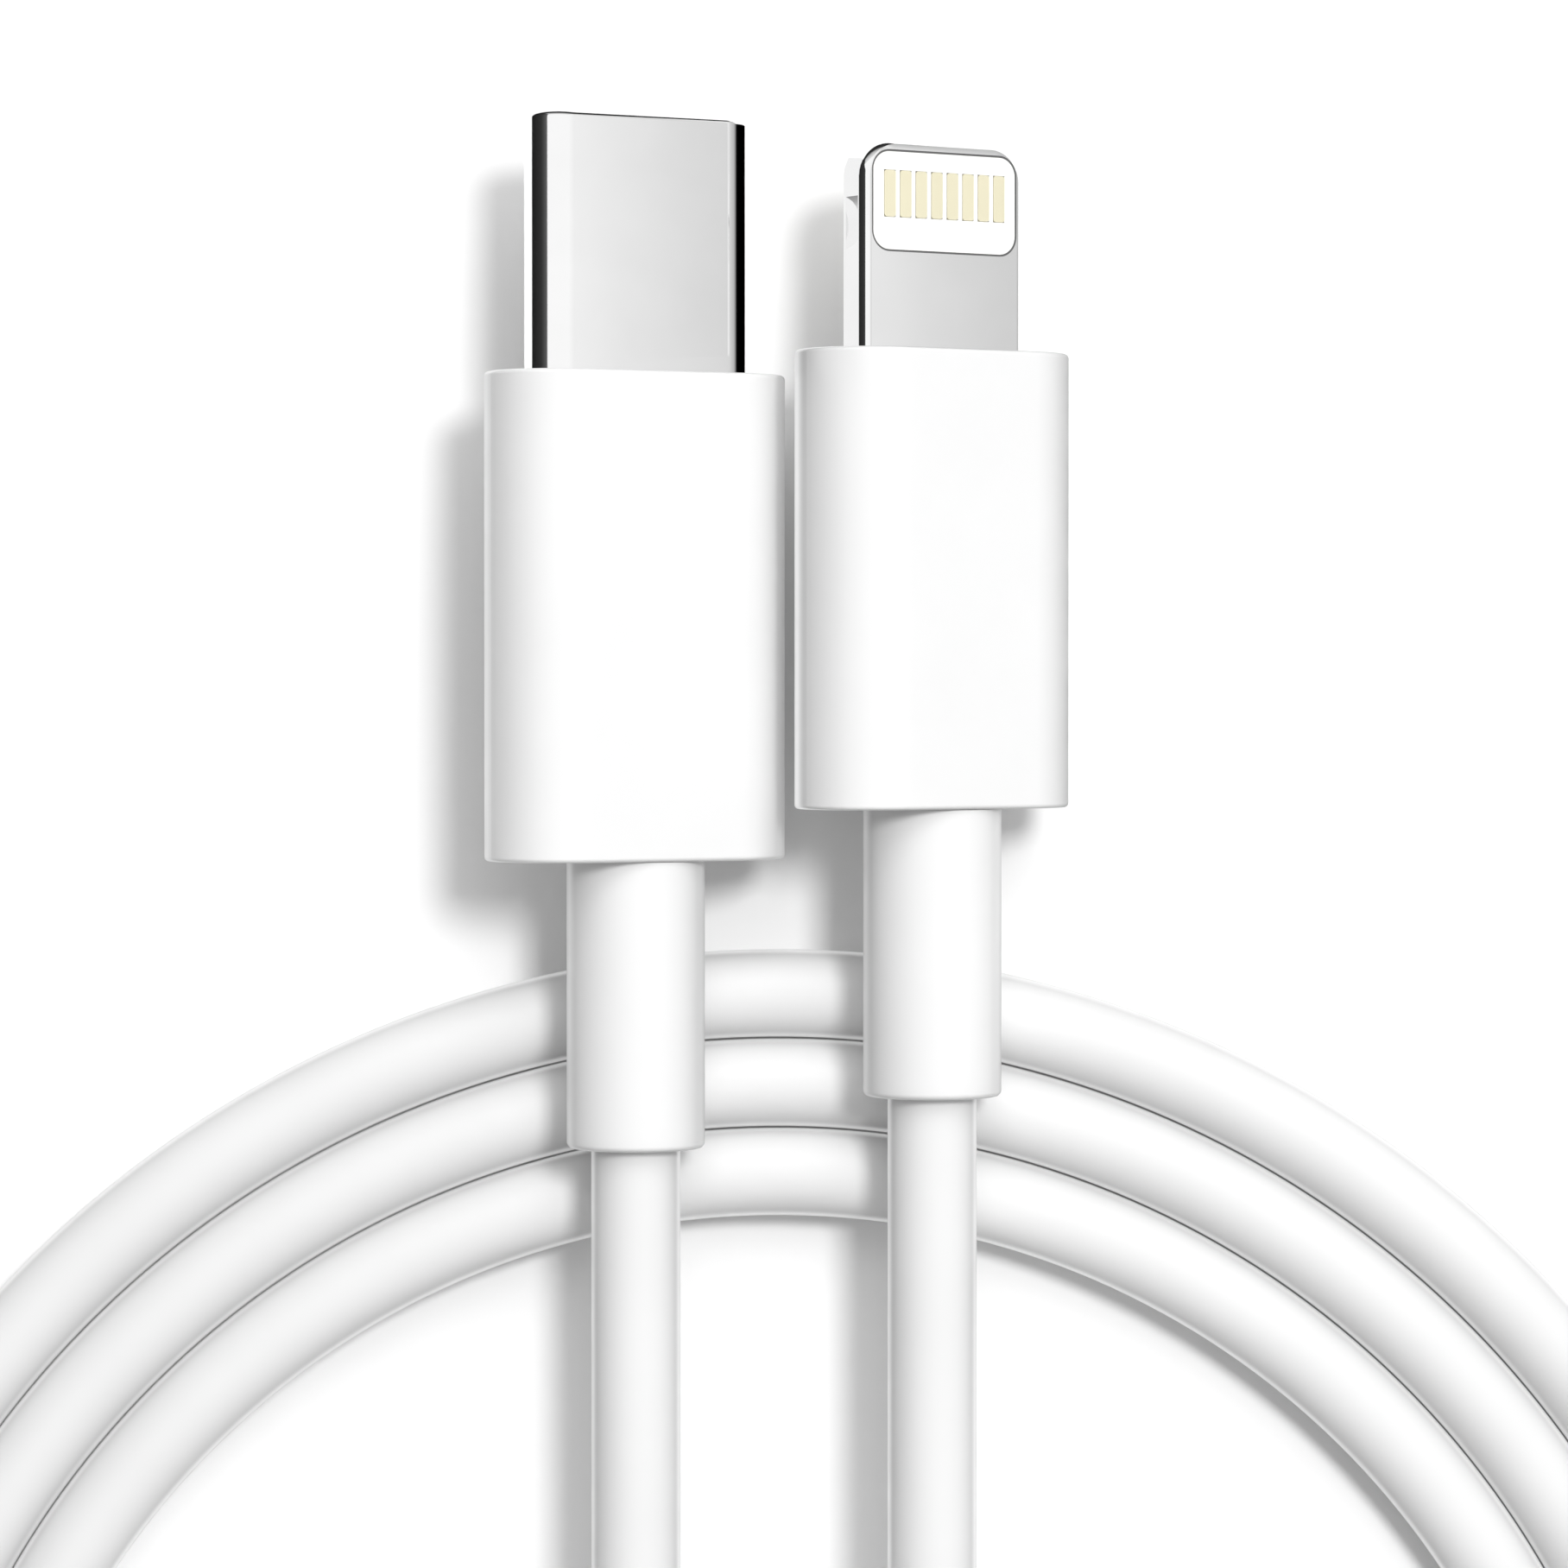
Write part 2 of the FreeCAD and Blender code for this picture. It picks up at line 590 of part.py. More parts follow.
def oval_contact_tails():
    """Fixed rear halves of the contacts, soldered to the board."""
    solids = []
    for x in row(OVAL_ROW, OVAL_PITCH):
        for _, low, high in both_sides(CONTACT_Z, CONTACT_Z + CONTACT_T):
            x0, x1 = x - CONTACT_W / 2, x + CONTACT_W / 2
            solids.append(box(x0, x1, CONTACT_REAR, CONTACT_ROOT - ROOT_GAP, low, high))
    return group(solids)


def oval_mid_plate():
    stem = slab(MID_STEM_W, MID_REAR, MID_BAR_Y[0], MID_T)
    return one(stem.fuse(slab(MID_BAR_W, *MID_BAR_Y, MID_T)).removeSplitter())


def oval_latch(side):
    """Side spring that clicks into the socket's tongue."""
    points = [V(side * x, y, -LATCH_H / 2) for y, x in LATCH]
    points += [V(side * (x + LATCH_T), y, -LATCH_H / 2) for y, x in reversed(LATCH)]
    face = Part.Face(Part.makePolygon(points + points[:1]))
    return one(face.extrude(V(0, 0, LATCH_H)))


def oval_emi_springs():
    solids = []
    for _, low, high in both_sides(*EMI_Z):
        spring = box(-EMI_W / 2, EMI_W / 2, *EMI_Y, low, high)
        slots = []
        for x in row(EMI_SLOTS, EMI_SLOT_PITCH):
            half = EMI_SLOT_W / 2
            slots.append(box(x - half, x + half, *EMI_SLOT_Y, low - BEYOND, high + BEYOND))
        solids.append(spring.cut(Part.makeCompound(slots)))
    return group(solids)


def oval_plug():
    front = OVAL_COVER[2]
    can_front, can_back = shield_cans(OVAL_CAN_W, OVAL_CAN_FRONT)
    room = shell_section(MOULD_GAP, CAN_Y + BEYOND, front)
    return {
        "cover": cover(OVAL_COVER, shell_section(MOULD_GAP, front - BEYOND, front + BEYOND)),
        "boot": boot(),
        "jacket_end": jacket_end(),
        "ferrule": ferrule(),
        "inner_mould": inner_mould(OVAL_COVER, OVAL_CAN_W, OVAL_CAN_FRONT, room),
        "can_front": can_front,
        "can_back": can_back,
        "shell": oval_shell(),
        "insulator": oval_insulator(),
        "contacts_upper": oval_contacts(1),
        "contacts_lower": oval_contacts(-1),
        "contact_tails": oval_contact_tails(),
        "mid_plate": oval_mid_plate(),
        "latch_left": oval_latch(-1),
        "latch_right": oval_latch(1),
        "emi_springs": oval_emi_springs(),
        "board": slab(OVAL_BOARD_W, BOARD_REAR, OVAL_BOARD_FRONT, OVAL_BOARD_T),
        "components": chips(OVAL_BOARD_T, OVAL_CHIPS),
        "wire_ends": wire_ends(OVAL_BOARD_T),
    }


# ===================================================================== tab plug
TAB_TIP_Y = TAB_COVER[2] + TAB_REACH
TAB_REAR = 11.5
TAB_FLANGE_W = 7.6         # thicker root of the tab, held by the cover's front wall
TAB_FLANGE_T = 2.6
TAB_OPENING_CORNER = 0.2   # corners of the opening in the cover's front wall
TAB_CAN_W = 8.4
TAB_CAN_FRONT = 13.5
TAB_BOARD_W = 7.2
TAB_BOARD_T = 0.6
TAB_TONGUE_W = 4.6         # the board's tongue reaches into the tab
TAB_CHIPS = (
    (-1.1, 8.6, 2.2, 2.2, 0.6, 1), (1.5, 7.8, 1.0, 0.5, 0.4, 1), (1.5, 9.0, 1.0, 0.5, 0.4, 1),
    (1.2, 8.6, 1.4, 1.4, 0.5, -1), (-1.2, 8.2, 0.6, 0.3, 0.3, -1), (-1.2, 9.2, 0.6, 0.3, 0.3, -1),
)
INSET_W = 6.04             # the white insert's outline on the tab's face
INSET_DEPTH = 0.25
INSET_Y0 = TAB_TIP_Y - 3.84
INSET_Y1 = TAB_TIP_Y - 0.34
INSET_CORNER = 0.72
INSET_SUNK = 0.01          # the insert's face lies this far below the tab's
INSET_GAP = 0.07           # round the insert
WINDOW_W = 5.3             # hole through the tab behind the contacts
WINDOW_Y0 = TAB_TIP_Y - 3.2
WINDOW_Y1 = TAB_TIP_Y - 0.9
WINDOW_CORNER = 0.4
PAD_Y = TAB_TIP_Y - 1.85   # middle of the contacts
PAD_L = 1.6
PAD_W = 0.46
PAD_CORNER = 0.1
PAD_PROUD = 0.015          # the contacts stand this far over the tab's face
PAD_GAP = 0.01
NOTCH_Y = TAB_TIP_Y - 2.85     # the catch pockets in the tab's two sides
NOTCH_R = 1.5
NOTCH_DEPTH = 0.3
NOTCH_T = 0.75             # a pocket leaves a rim along both faces
TONGUE_TIP_Y = WINDOW_Y1 - 0.25
SLOT_GAP = 0.06            # round the board's tongue, inside the tab
SLOT_SIDE_GAP = 0.15


def tab_blade():
    """Flat bar with rounded tip corners and softened edges."""
    blade = slab(TAB_W, TAB_REAR, TAB_TIP_Y, TAB_T)
    tips = []
    for edge in blade.Edges:
        upright = abs(edge.tangentAt(edge.FirstParameter).z) > 0.9
        if upright and min(v.Y for v in edge.Vertexes) > TAB_TIP_Y - TINY:
            tips.append(edge)
    blade = blade.makeFillet(TAB_CORNER, tips)
    rims = []
    for edge in blade.Edges:
        flat = abs(edge.tangentAt(edge.FirstParameter).z) < 0.1
        if flat and max(v.Y for v in edge.Vertexes) > TAB_REAR + TINY:
            rims.append(edge)
    return blade.makeFillet(TAB_EDGE, rims)


def tab_frame():
    """One-piece metal tab with a shallow seat for the insert on each face, a window and two side notches."""
    flange = stadium(TAB_FLANGE_W, TAB_FLANGE_T, TAB_REAR, TAB_COVER[2] - COVER_END - MOULD_GAP)
    solid = tab_blade().fuse(flange)
    for side, z0, z1 in both_sides(TAB_T / 2 - INSET_DEPTH, TAB_T):
        solid = solid.cut(plate(INSET_W, INSET_Y0, INSET_Y1, INSET_CORNER, z0, z1))
        x = side * (TAB_W / 2 + NOTCH_R - NOTCH_DEPTH)
        solid = solid.cut(Part.makeCylinder(NOTCH_R, NOTCH_T, V(x, NOTCH_Y, -NOTCH_T / 2)))
    solid = solid.cut(plate(WINDOW_W, WINDOW_Y0, WINDOW_Y1, WINDOW_CORNER, -TAB_T, TAB_T))
    slot_w, slot_t = TAB_TONGUE_W + 2 * SLOT_SIDE_GAP, TAB_BOARD_T + 2 * SLOT_GAP
    board_slot = slab(slot_w, TAB_REAR - BEYOND, WINDOW_Y0 + BEYOND / 2, slot_t)
    return one(solid.cut(board_slot).removeSplitter())


def tab_insert():
    """White plastic moulded through the window, with pockets for the contacts and a slot for the board."""
    face_z = TAB_T / 2 - INSET_SUNK
    seat_z = TAB_T / 2 - INSET_DEPTH + INSET_GAP
    y0, y1 = WINDOW_Y0 + INSET_GAP, WINDOW_Y1 - INSET_GAP
    solid = plate(WINDOW_W - 2 * INSET_GAP, y0, y1, WINDOW_CORNER - INSET_GAP, -face_z, face_z)
    y0, y1 = INSET_Y0 + INSET_GAP, INSET_Y1 - INSET_GAP
    for _, low, high in both_sides(seat_z, face_z):
        solid = solid.fuse(plate(INSET_W - 2 * INSET_GAP, y0, y1, INSET_CORNER - INSET_GAP, low, high))
    solid = solid.removeSplitter()
    slot_w, slot_t = TAB_TONGUE_W + 2 * INSET_GAP, TAB_BOARD_T + INSET_GAP
    cuts = [slab(slot_w, WINDOW_Y0 - BEYOND, TONGUE_TIP_Y + INSET_GAP, slot_t)]
    half_w, half_l = PAD_W / 2 + PAD_GAP, PAD_L / 2 + PAD_GAP
    for x in row(TAB_ROW, TAB_PITCH):
        cuts.append(box(x - half_w, x + half_w, PAD_Y - half_l, PAD_Y + half_l, -TAB_T, TAB_T))
    return one(solid.cut(Part.makeCompound(cuts)))


def tab_contacts(side):
    z0, z1 = TAB_BOARD_T / 2 + SOLDER, TAB_T / 2 + PAD_PROUD
    solids = []
    for x in row(TAB_ROW, TAB_PITCH):
        pad = plate(PAD_W, PAD_Y - PAD_L / 2, PAD_Y + PAD_L / 2, PAD_CORNER, z0, z1)
        if side < 0:
            pad = pad.mirror(V(0, 0, 0), V(0, 0, 1))
        pad.translate(V(x, 0, 0))
        solids.append(pad)
    return group(solids)


def tab_board():
    rear = slab(TAB_BOARD_W, BOARD_REAR, TAB_REAR - 2 * CAN_WALL, TAB_BOARD_T)
    tongue = slab(TAB_TONGUE_W, TAB_REAR - BEYOND, TONGUE_TIP_Y, TAB_BOARD_T)
    return one(rear.fuse(tongue).removeSplitter())


def tab_plug():
    front = TAB_COVER[2]
    gap = 2 * MOULD_GAP
    opening = bar(TAB_W + gap, TAB_T + gap, TAB_OPENING_CORNER, front - BEYOND, front + BEYOND)
    can_front, can_back = shield_cans(TAB_CAN_W, TAB_CAN_FRONT)
    room = stadium(TAB_FLANGE_W + gap, TAB_FLANGE_T + gap, CAN_Y + BEYOND, front)
    return {
        "cover": cover(TAB_COVER, opening),
        "boot": boot(),
        "jacket_end": jacket_end(),
        "ferrule": ferrule(),
        "inner_mould": inner_mould(TAB_COVER, TAB_CAN_W, TAB_CAN_FRONT, room),
        "can_front": can_front,
        "can_back": can_back,
        "frame": tab_frame(),
        "insert": tab_insert(),
        "contacts_front": tab_contacts(1),
        "contacts_back": tab_contacts(-1),
        "board": tab_board(),
        "components": chips(TAB_BOARD_T, TAB_CHIPS),
        "wire_ends": wire_ends(TAB_BOARD_T),
    }


# ===================================================================== assembly
def placed_plug(prefix, parts, x, boot_tail_y, roll):
    place = FreeCAD.Placement(
        V(x, boot_tail_y + BOOT_LENGTH, PLUG_AXIS_Z), FreeCAD.Rotation(V(0, 1, 0), roll)
    )
    placed = {}
    for name, shape in parts.items():
        shape = shape.copy()
        shape.Placement = place.multiply(shape.Placement)
        placed["%s_%s" % (prefix, name)] = shape
    return placed


def main():
    oval_tail_y = FAR_ARC_Y + OVAL_TAIL_FROM_ARC
    tab_tail_y = FAR_ARC_Y + TAB_TAIL_FROM_ARC
    nodes = coil_parts()
    nodes.update(lead_parts("oval", OVAL_X, FLOOR_Z, oval_tail_y))
    nodes.update(lead_parts("tab", TAB_X, CROSS_Z, tab_tail_y))
    nodes.update(placed_plug("oval", oval_plug(), OVAL_X, oval_tail_y, OVAL_ROLL))
    nodes.update(placed_plug("tab", tab_plug(), TAB_X, tab_tail_y, TAB_ROLL))
    os.makedirs(OUT, exist_ok=True)
    for name, shape in nodes.items():
        if not shape.isValid():
            print("not valid:", name)
        shape.exportStep(os.path.join(OUT, name + ".step"))
    print("nodes", len(nodes), "side", round(SIDE, 3), "length", round(cable_length(SIDE), 3))


main()
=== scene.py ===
import json
import math

import bpy
from mathutils import Matrix, Vector

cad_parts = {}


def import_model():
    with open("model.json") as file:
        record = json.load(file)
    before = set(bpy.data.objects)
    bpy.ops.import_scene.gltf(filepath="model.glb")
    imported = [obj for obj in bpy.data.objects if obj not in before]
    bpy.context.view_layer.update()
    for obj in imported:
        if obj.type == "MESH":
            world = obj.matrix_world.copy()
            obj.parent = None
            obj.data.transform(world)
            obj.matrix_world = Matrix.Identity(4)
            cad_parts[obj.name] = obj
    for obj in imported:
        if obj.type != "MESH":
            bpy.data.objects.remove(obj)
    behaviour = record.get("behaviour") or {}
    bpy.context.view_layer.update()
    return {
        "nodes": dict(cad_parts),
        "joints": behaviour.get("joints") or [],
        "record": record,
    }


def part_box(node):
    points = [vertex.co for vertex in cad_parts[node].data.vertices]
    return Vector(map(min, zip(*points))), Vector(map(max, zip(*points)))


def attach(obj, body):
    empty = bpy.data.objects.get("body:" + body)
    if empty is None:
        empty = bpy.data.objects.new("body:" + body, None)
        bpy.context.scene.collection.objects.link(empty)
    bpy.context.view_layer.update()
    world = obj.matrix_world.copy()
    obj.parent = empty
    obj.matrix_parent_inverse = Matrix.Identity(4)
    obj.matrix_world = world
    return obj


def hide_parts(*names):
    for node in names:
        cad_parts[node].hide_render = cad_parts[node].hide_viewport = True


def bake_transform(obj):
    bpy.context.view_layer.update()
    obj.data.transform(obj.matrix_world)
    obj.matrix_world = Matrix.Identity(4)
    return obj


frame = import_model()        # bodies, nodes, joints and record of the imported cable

MM = 0.001

# ------------------------------------------------------------------ cable, as in the CAD
JACKET_BORE = 1.15 * MM
SIDE_GAP = 0.04 * MM       # between turns along the straight sides
END_GAP = 0.03 * MM        # extra gap between turns at the far end of the coil
CLIMB_R = 12 * MM          # radius of every up or down bend
LIFT_FIRST = 5 * MM        # first lift hinge, past the end of the lead's turn
LIFT_REACH = 4.1 * MM      # each lift hinge's bend reaches this far to both sides
LEAD_SHARE = 0.8           # of the flat stretch before the rise; the rest belongs to the neck
TWIST_REACH = 4 * MM       # the twist spreads this far to both sides of its joint
SWING_BACK = 2.8 * MM      # the sideways bend reaches this far behind its hinge
SWING_AHEAD = 2.3 * MM     # and this far in front of it
BEND_REACH = 2.9 * MM      # the boot bends this far to both sides of its hinge
BOOT_R = 2.4 * MM
BOOT_LENGTH = 10 * MM
BOOT_BORE = 1.6 * MM
BOOT_EDGE = 0.2 * MM       # rounding of the boot's tail rim
BOOT_NECK_R = 2 * MM       # the part of the boot inside the cover's tail wall
BOOT_GAP = 0.03 * MM       # between the boot's shoulder and the cover
JACKET_ENDS = 3.6 * MM     # inside the plug, past the cover's tail face
ROLL = {"oval": 27.3, "tab": 32.7}      # how far each plug lies rolled about its axis, in degrees

# ------------------------------------------------------------------ plugs, as in the CAD
COVER_WALL = 0.6 * MM
COVER_END = 0.8 * MM       # thickness of the cover's two end walls
COVER_EDGE = 0.15 * MM     # rounding of its outer rims
HOLE_LIP = 0.06 * MM       # softening of the rims of its holes
TAIL_HOLE_R = 2.05 * MM
SHELL_SLIT = 0.05 * MM     # round the shell, where it leaves the cover
TAB_SLOT = (3.4 * MM, 0.8 * MM)         # half width and half height of the cover's slot for the tab
TAB_SLOT_CORNER = 0.2 * MM
SHELL_WALL = 0.25 * MM
SHELL_RIM = 0.22 * MM      # rounding of the shell's mouth outside
SHELL_LIP = 0.02 * MM      # and inside
INSET_HALF_W = 3.02 * MM   # seat of the white insert in the tab's face
INSET_CORNER = 0.72 * MM
INSET_GAP = 0.07 * MM      # round the insert
SEAM_TOP = 0.02 * MM       # top and bottom of the painted-shade sheet in the gap round the insert, below the insert's face
SEAM_BOTTOM = 0.19 * MM
SEAM_CLEAR = 0.004 * MM    # between that painted-shade sheet and what it lies against

# ------------------------------------------------------------------ mesh fineness
SEGMENTS = 40              # round the cable
STEP = 0.7 * MM            # along it
CORNER_POINTS = 20         # round each quarter of a plug section
FILLET_RINGS = 8
LEAST_FLAT = 0.004 * MM    # between two corners of a plug section

NODES = frame["nodes"]
PIVOT = {j["name"]: Vector(j["pos_m"]) for j in frame["joints"]}
JACKET_R = PIVOT["oval_lift"].z         # the coil rests on the floor
CABLE_X = {end: PIVOT[end + "_bend"].x for end in ROLL}


# =================================================================== mesh building
def new_object(name, vertices, faces, sharp_rings=(), ring_size=0):
    """Mesh object with smooth faces. Edges that run round a ring listed in sharp_rings are sharp."""
    mesh = bpy.data.meshes.new(name)
    mesh.from_pydata([tuple(v) for v in vertices], [], faces)
    mesh.shade_smooth()
    if sharp_rings:
        sharp = set(sharp_rings)
        flags = []
        for edge in mesh.edges:
            a, b = (v // ring_size for v in edge.vertices)
            flags.append(a == b and a in sharp)
        mesh.attributes.new("sharp_edge", "BOOLEAN", "EDGE").data.foreach_set("value", flags)
    mesh.validate()
    obj = bpy.data.objects.new(name, mesh)
    bpy.context.scene.collection.objects.link(obj)
    return obj


def loft(name, rings, sharp_rings=()):
    """Closed skin through rings of equal size; the last ring joins the first."""
    size = len(rings[0])
    vertices = [p for ring in rings for p in ring]
    faces = []
    for k in range(len(rings)):
        here, there = k * size, (k + 1) % len(rings) * size
        for i in range(size):
            j = (i + 1) % size
            faces.append((here + i, here + j, there + j, there + i))
    obj = new_object(name, vertices, faces, sharp_rings, size)
    weighted = obj.modifiers.new("even_normals", "WEIGHTED_NORMAL")
    weighted.keep_sharp = True
    return obj


def circle(centre, left, up, radius):
    """Points round a circle, from its left side over its top."""
    points = []
    for k in range(SEGMENTS):
        angle = 2 * math.pi * k / SEGMENTS
        points.append(centre + left * (radius * math.cos(angle)) + up * (radius * math.sin(angle)))
    return points


def tube(name, frames, radius, bore):
    """Closed pipe along frames of (centre, left, up), with square ends."""
    outside = [circle(c, left, up, radius) for c, left, up in frames]
    inside = [circle(c, left, up, bore) for c, left, up in reversed(frames)]
    rings = outside + inside
    last = len(outside) - 1
    return loft(name, rings, (0, last, last + 1, len(rings) - 1))


def trace(route, start, heading):
    """Frames along a route of ("line", length), ("turn", radius, degrees to the left) and
    ("climb", radius, degrees nose up)."""
    place, t, u = Vector(start), Vector(heading), Vector((0, 0, 1))
    frames = [(place.copy(), u.cross(t), u.copy())]
    for move in route:
        if move[0] == "line":
            count = max(1, math.ceil(move[1] / STEP))
            for k in range(count):
                frames.append((place + t * (move[1] * (k + 1) / count), u.cross(t), u.copy()))
            place = place + t * move[1]
            continue
        kind, radius, degrees = move
        side = 1 if degrees > 0 else -1
        left = u.cross(t)
        towards, axis = (left, u) if kind == "turn" else (u, t.cross(u))
        centre = place + towards * (side * radius)
        angle = math.radians(degrees)
        count = max(2, math.ceil(radius * abs(angle) / STEP))
        first = place - centre
        t0, u0 = t.copy(), u.copy()
        for k in range(count):
            turn = Matrix.Rotation(angle * (k + 1) / count, 3, axis)
            place, t, u = centre + turn @ first, turn @ t0, turn @ u0
            frames.append((place.copy(), u.cross(t), u.copy()))
    return frames


def climb(height):
    """Two opposite bends that lift the cable by height, and the length that they take."""
    angle = math.acos(1 - height / (2 * CLIMB_R))
    moves = [("climb", CLIMB_R, math.degrees(angle)), ("climb", CLIMB_R, -math.degrees(angle))]
    return moves, 2 * CLIMB_R * math.sin(angle)


# =================================================================== the white jacket
def coil_skin():
    """Jacket of the coiled stretch, up to where each end's first lift hinge begins to bend it."""
    low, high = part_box("coil_jacket")
    pitch = 2 * JACKET_R + SIDE_GAP
    outer = (high.x - low.x) / 2 - JACKET_R
    middle, inner = outer - pitch, outer - 2 * pitch
    oval, tab = PIVOT["oval_lift"], PIVOT["tab_lift"]
    side = -2 * (oval.y - LIFT_FIRST)
    rise, rise_length = climb(tab.z - oval.z)
    route = [
        ("line", LIFT_FIRST - LIFT_REACH),
        ("turn", (inner + oval.x) / 2, -180),
        ("line", side - 2 * END_GAP),
        ("turn", inner, -180),
        ("line", side - 2 * END_GAP),
        ("turn", (inner + middle) / 2, -180),
        ("line", side - END_GAP),
        ("turn", middle, -180),
        ("line", side - END_GAP),
        ("turn", (middle + outer) / 2, -180),
        ("line", side),
        ("turn", outer, -180),
        ("line", side / 2 - rise_length / 2),
        *rise,
        ("line", side / 2 - rise_length / 2),
        ("turn", (outer - tab.x) / 2, -180),
        ("line", LIFT_FIRST - LIFT_REACH),
    ]
    start = oval - Vector((0, LIFT_REACH, 0))
    skin = tube("coil_jacket_skin", trace(route, start, (0, -1, 0)), JACKET_R, JACKET_BORE)
    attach(skin, "coil")
    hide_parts("coil_jacket")
    return skin


def straight(x, z, y0, y1):
    """Frames along +Y."""
    return trace([("line", y1 - y0)], (x, y0, z), (0, 1, 0))


def lead_skins(end):
    """Jacket of one lead, cut into pieces that each lie across one joint."""
    x = CABLE_X[end]
    lift, further = PIVOT[end + "_lift"], PIVOT[end + "_lift_further"]
    twist, swing, bend = (PIVOT[end + "_" + name] for name in ("twist", "swing", "bend"))
    mid_start = (lift.y + further.y) / 2
    mid_neck = (twist.y + swing.y) / 2
    rise, rise_length = climb(twist.z - further.z)
    flat = (twist.y - further.y - rise_length) / 2
    before_rise = further.y + flat * LEAD_SHARE

    def skin(name, frames, a, b, pivot, back, ahead, *nodes):
        piece = tube("%s_%s" % (end, name), frames, JACKET_R, JACKET_BORE)
        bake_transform(piece)
        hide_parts(*nodes)
        return piece

    rising = trace(
        [("line", further.y + flat - before_rise), *rise, ("line", flat + mid_neck - twist.y)],
        (x, before_rise, further.z), (0, 1, 0),
    )
    return [
        skin("lift_skin", straight(x, lift.z, lift.y - LIFT_REACH, mid_start),
             "coil", end + "_lead_start", lift, LIFT_REACH, LIFT_REACH, end + "_lead_start_jacket"),
        skin("lead_skin", straight(x, further.z, mid_start, before_rise),
             end + "_lead_start", end + "_lead", further, LIFT_REACH, LIFT_REACH, end + "_lead_jacket"),
        skin("neck_skin", rising, end + "_lead", end + "_neck", twist,
             TWIST_REACH, TWIST_REACH, end + "_neck_jacket"),
        skin("boot_entry_skin", straight(x, swing.z, mid_neck, bend.y - BEND_REACH),
             end + "_neck", end + "_boot_tail", swing, SWING_BACK, SWING_AHEAD, end + "_boot_tail_jacket"),
    ]


def bend_with_boot(skin):
    """Bakes a skin's placement into its mesh."""
    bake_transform(skin)


def jacket_end_skin(end, place):
    """The jacket's last stretch, inside the boot and the plug's crimp."""
    pivot = PIVOT[end + "_bend"]
    frames = straight(pivot.x, pivot.z, pivot.y - BEND_REACH, place.translation.y + JACKET_ENDS)
    skin = tube(end + "_jacket_end_skin", frames, JACKET_R, JACKET_BORE)
    bend_with_boot(skin)
    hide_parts(end + "_jacket_end")
    return skin


def profile_along(radius, y0, y1):
    """Points of a profile at one radius from y0 to y1, close enough together to bend smoothly."""
    count = math.ceil(abs(y1 - y0) / (STEP / 2))
    return [(radius, y0 + (y1 - y0) * k / count) for k in range(count + 1)]


def boot_skin(end, place):
    """Strain relief: a plain sleeve with a rounded tail rim, from its tail to the plug."""
    tail = -BOOT_LENGTH
    rim = []
    for k in range(FILLET_RINGS):
        angle = math.pi / 2 * k / FILLET_RINGS
        rim.append((BOOT_R - BOOT_EDGE * (1 - math.sin(angle)), tail + BOOT_EDGE * (1 - math.cos(angle))))
    outside = rim + profile_along(BOOT_R, tail + BOOT_EDGE, -BOOT_GAP)
    neck = [(BOOT_NECK_R, -BOOT_GAP), (BOOT_NECK_R, COVER_END)]
    profile = outside + neck + profile_along(BOOT_BORE, COVER_END, tail)
    left, up = Vector((-1, 0, 0)), Vector((0, 0, 1))
    rings = []
    for radius, y in profile:
        rings.append([place @ p for p in circle(Vector((0, y, 0)), left, up, radius)])
    shoulder = len(outside) - 1
    sharp = (shoulder, shoulder + 1, shoulder + 2, shoulder + 3, len(rings) - 1)
    skin = loft(end + "_boot_skin", rings, sharp)
    bend_with_boot(skin)
    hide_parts(end + "_boot_tail", end + "_boot")
    return skin


# =================================================================== plug skins
def plug_place(end):
    """Matrix from the plug's own frame to the row frame, at rest."""
    origin = PIVOT[end + "_bend"].copy()
    centre = Matrix.Rotation(math.radians(ROLL[end]), 4, "Y")
    lows = [(centre.inverted() @ v.co).y for v in NODES[end + "_cover"].data.vertices]
    origin.y = min(lows)
    return Matrix.Translation(origin) @ centre


def local_size(node, place):
    """Lowest and highest corner of a node in the plug's own frame."""
    back = place.inverted()
    points = [back @ v.co for v in NODES[node].data.vertices]
    low = Vector([min(p[k] for p in points) for k in range(3)])
    high = Vector([max(p[k] for p in points) for k in range(3)])
    return low, high


def section(hx, hz, radius, y):
    """Rounded rectangle of half sizes hx and hz at y. The flat between two corners is never quite zero, so
    every section has the same number of separate points."""
    radius = min(radius, hx - LEAST_FLAT, hz - LEAST_FLAT)
    points = []
    for quarter, (sx, sz) in enumerate(((1, 1), (-1, 1), (-1, -1), (1, -1))):
        cx, cz = sx * (hx - radius), sz * (hz - radius)
        for k in range(CORNER_POINTS + 1):
            angle = math.pi / 2 * (quarter + k / CORNER_POINTS)
            points.append(Vector((cx + radius * math.cos(angle), y, cz + radius * math.sin(angle))))
    return points


def fillet(hx, hz, radius, y, edge, way, start_on_side):
    """Sections round an outer rim at y. way is +1 for the front rim and -1 for the tail rim."""
    rings = []
    for k in range(FILLET_RINGS + 1):
        share = k / FILLET_RINGS if start_on_side else 1 - k / FILLET_RINGS
        angle = math.pi / 2 * share
        inset = edge * (1 - math.cos(angle))
        rings.append(section(hx - inset, hz - inset, radius - inset, y - way * edge * (1 - math.sin(angle))))
    return rings


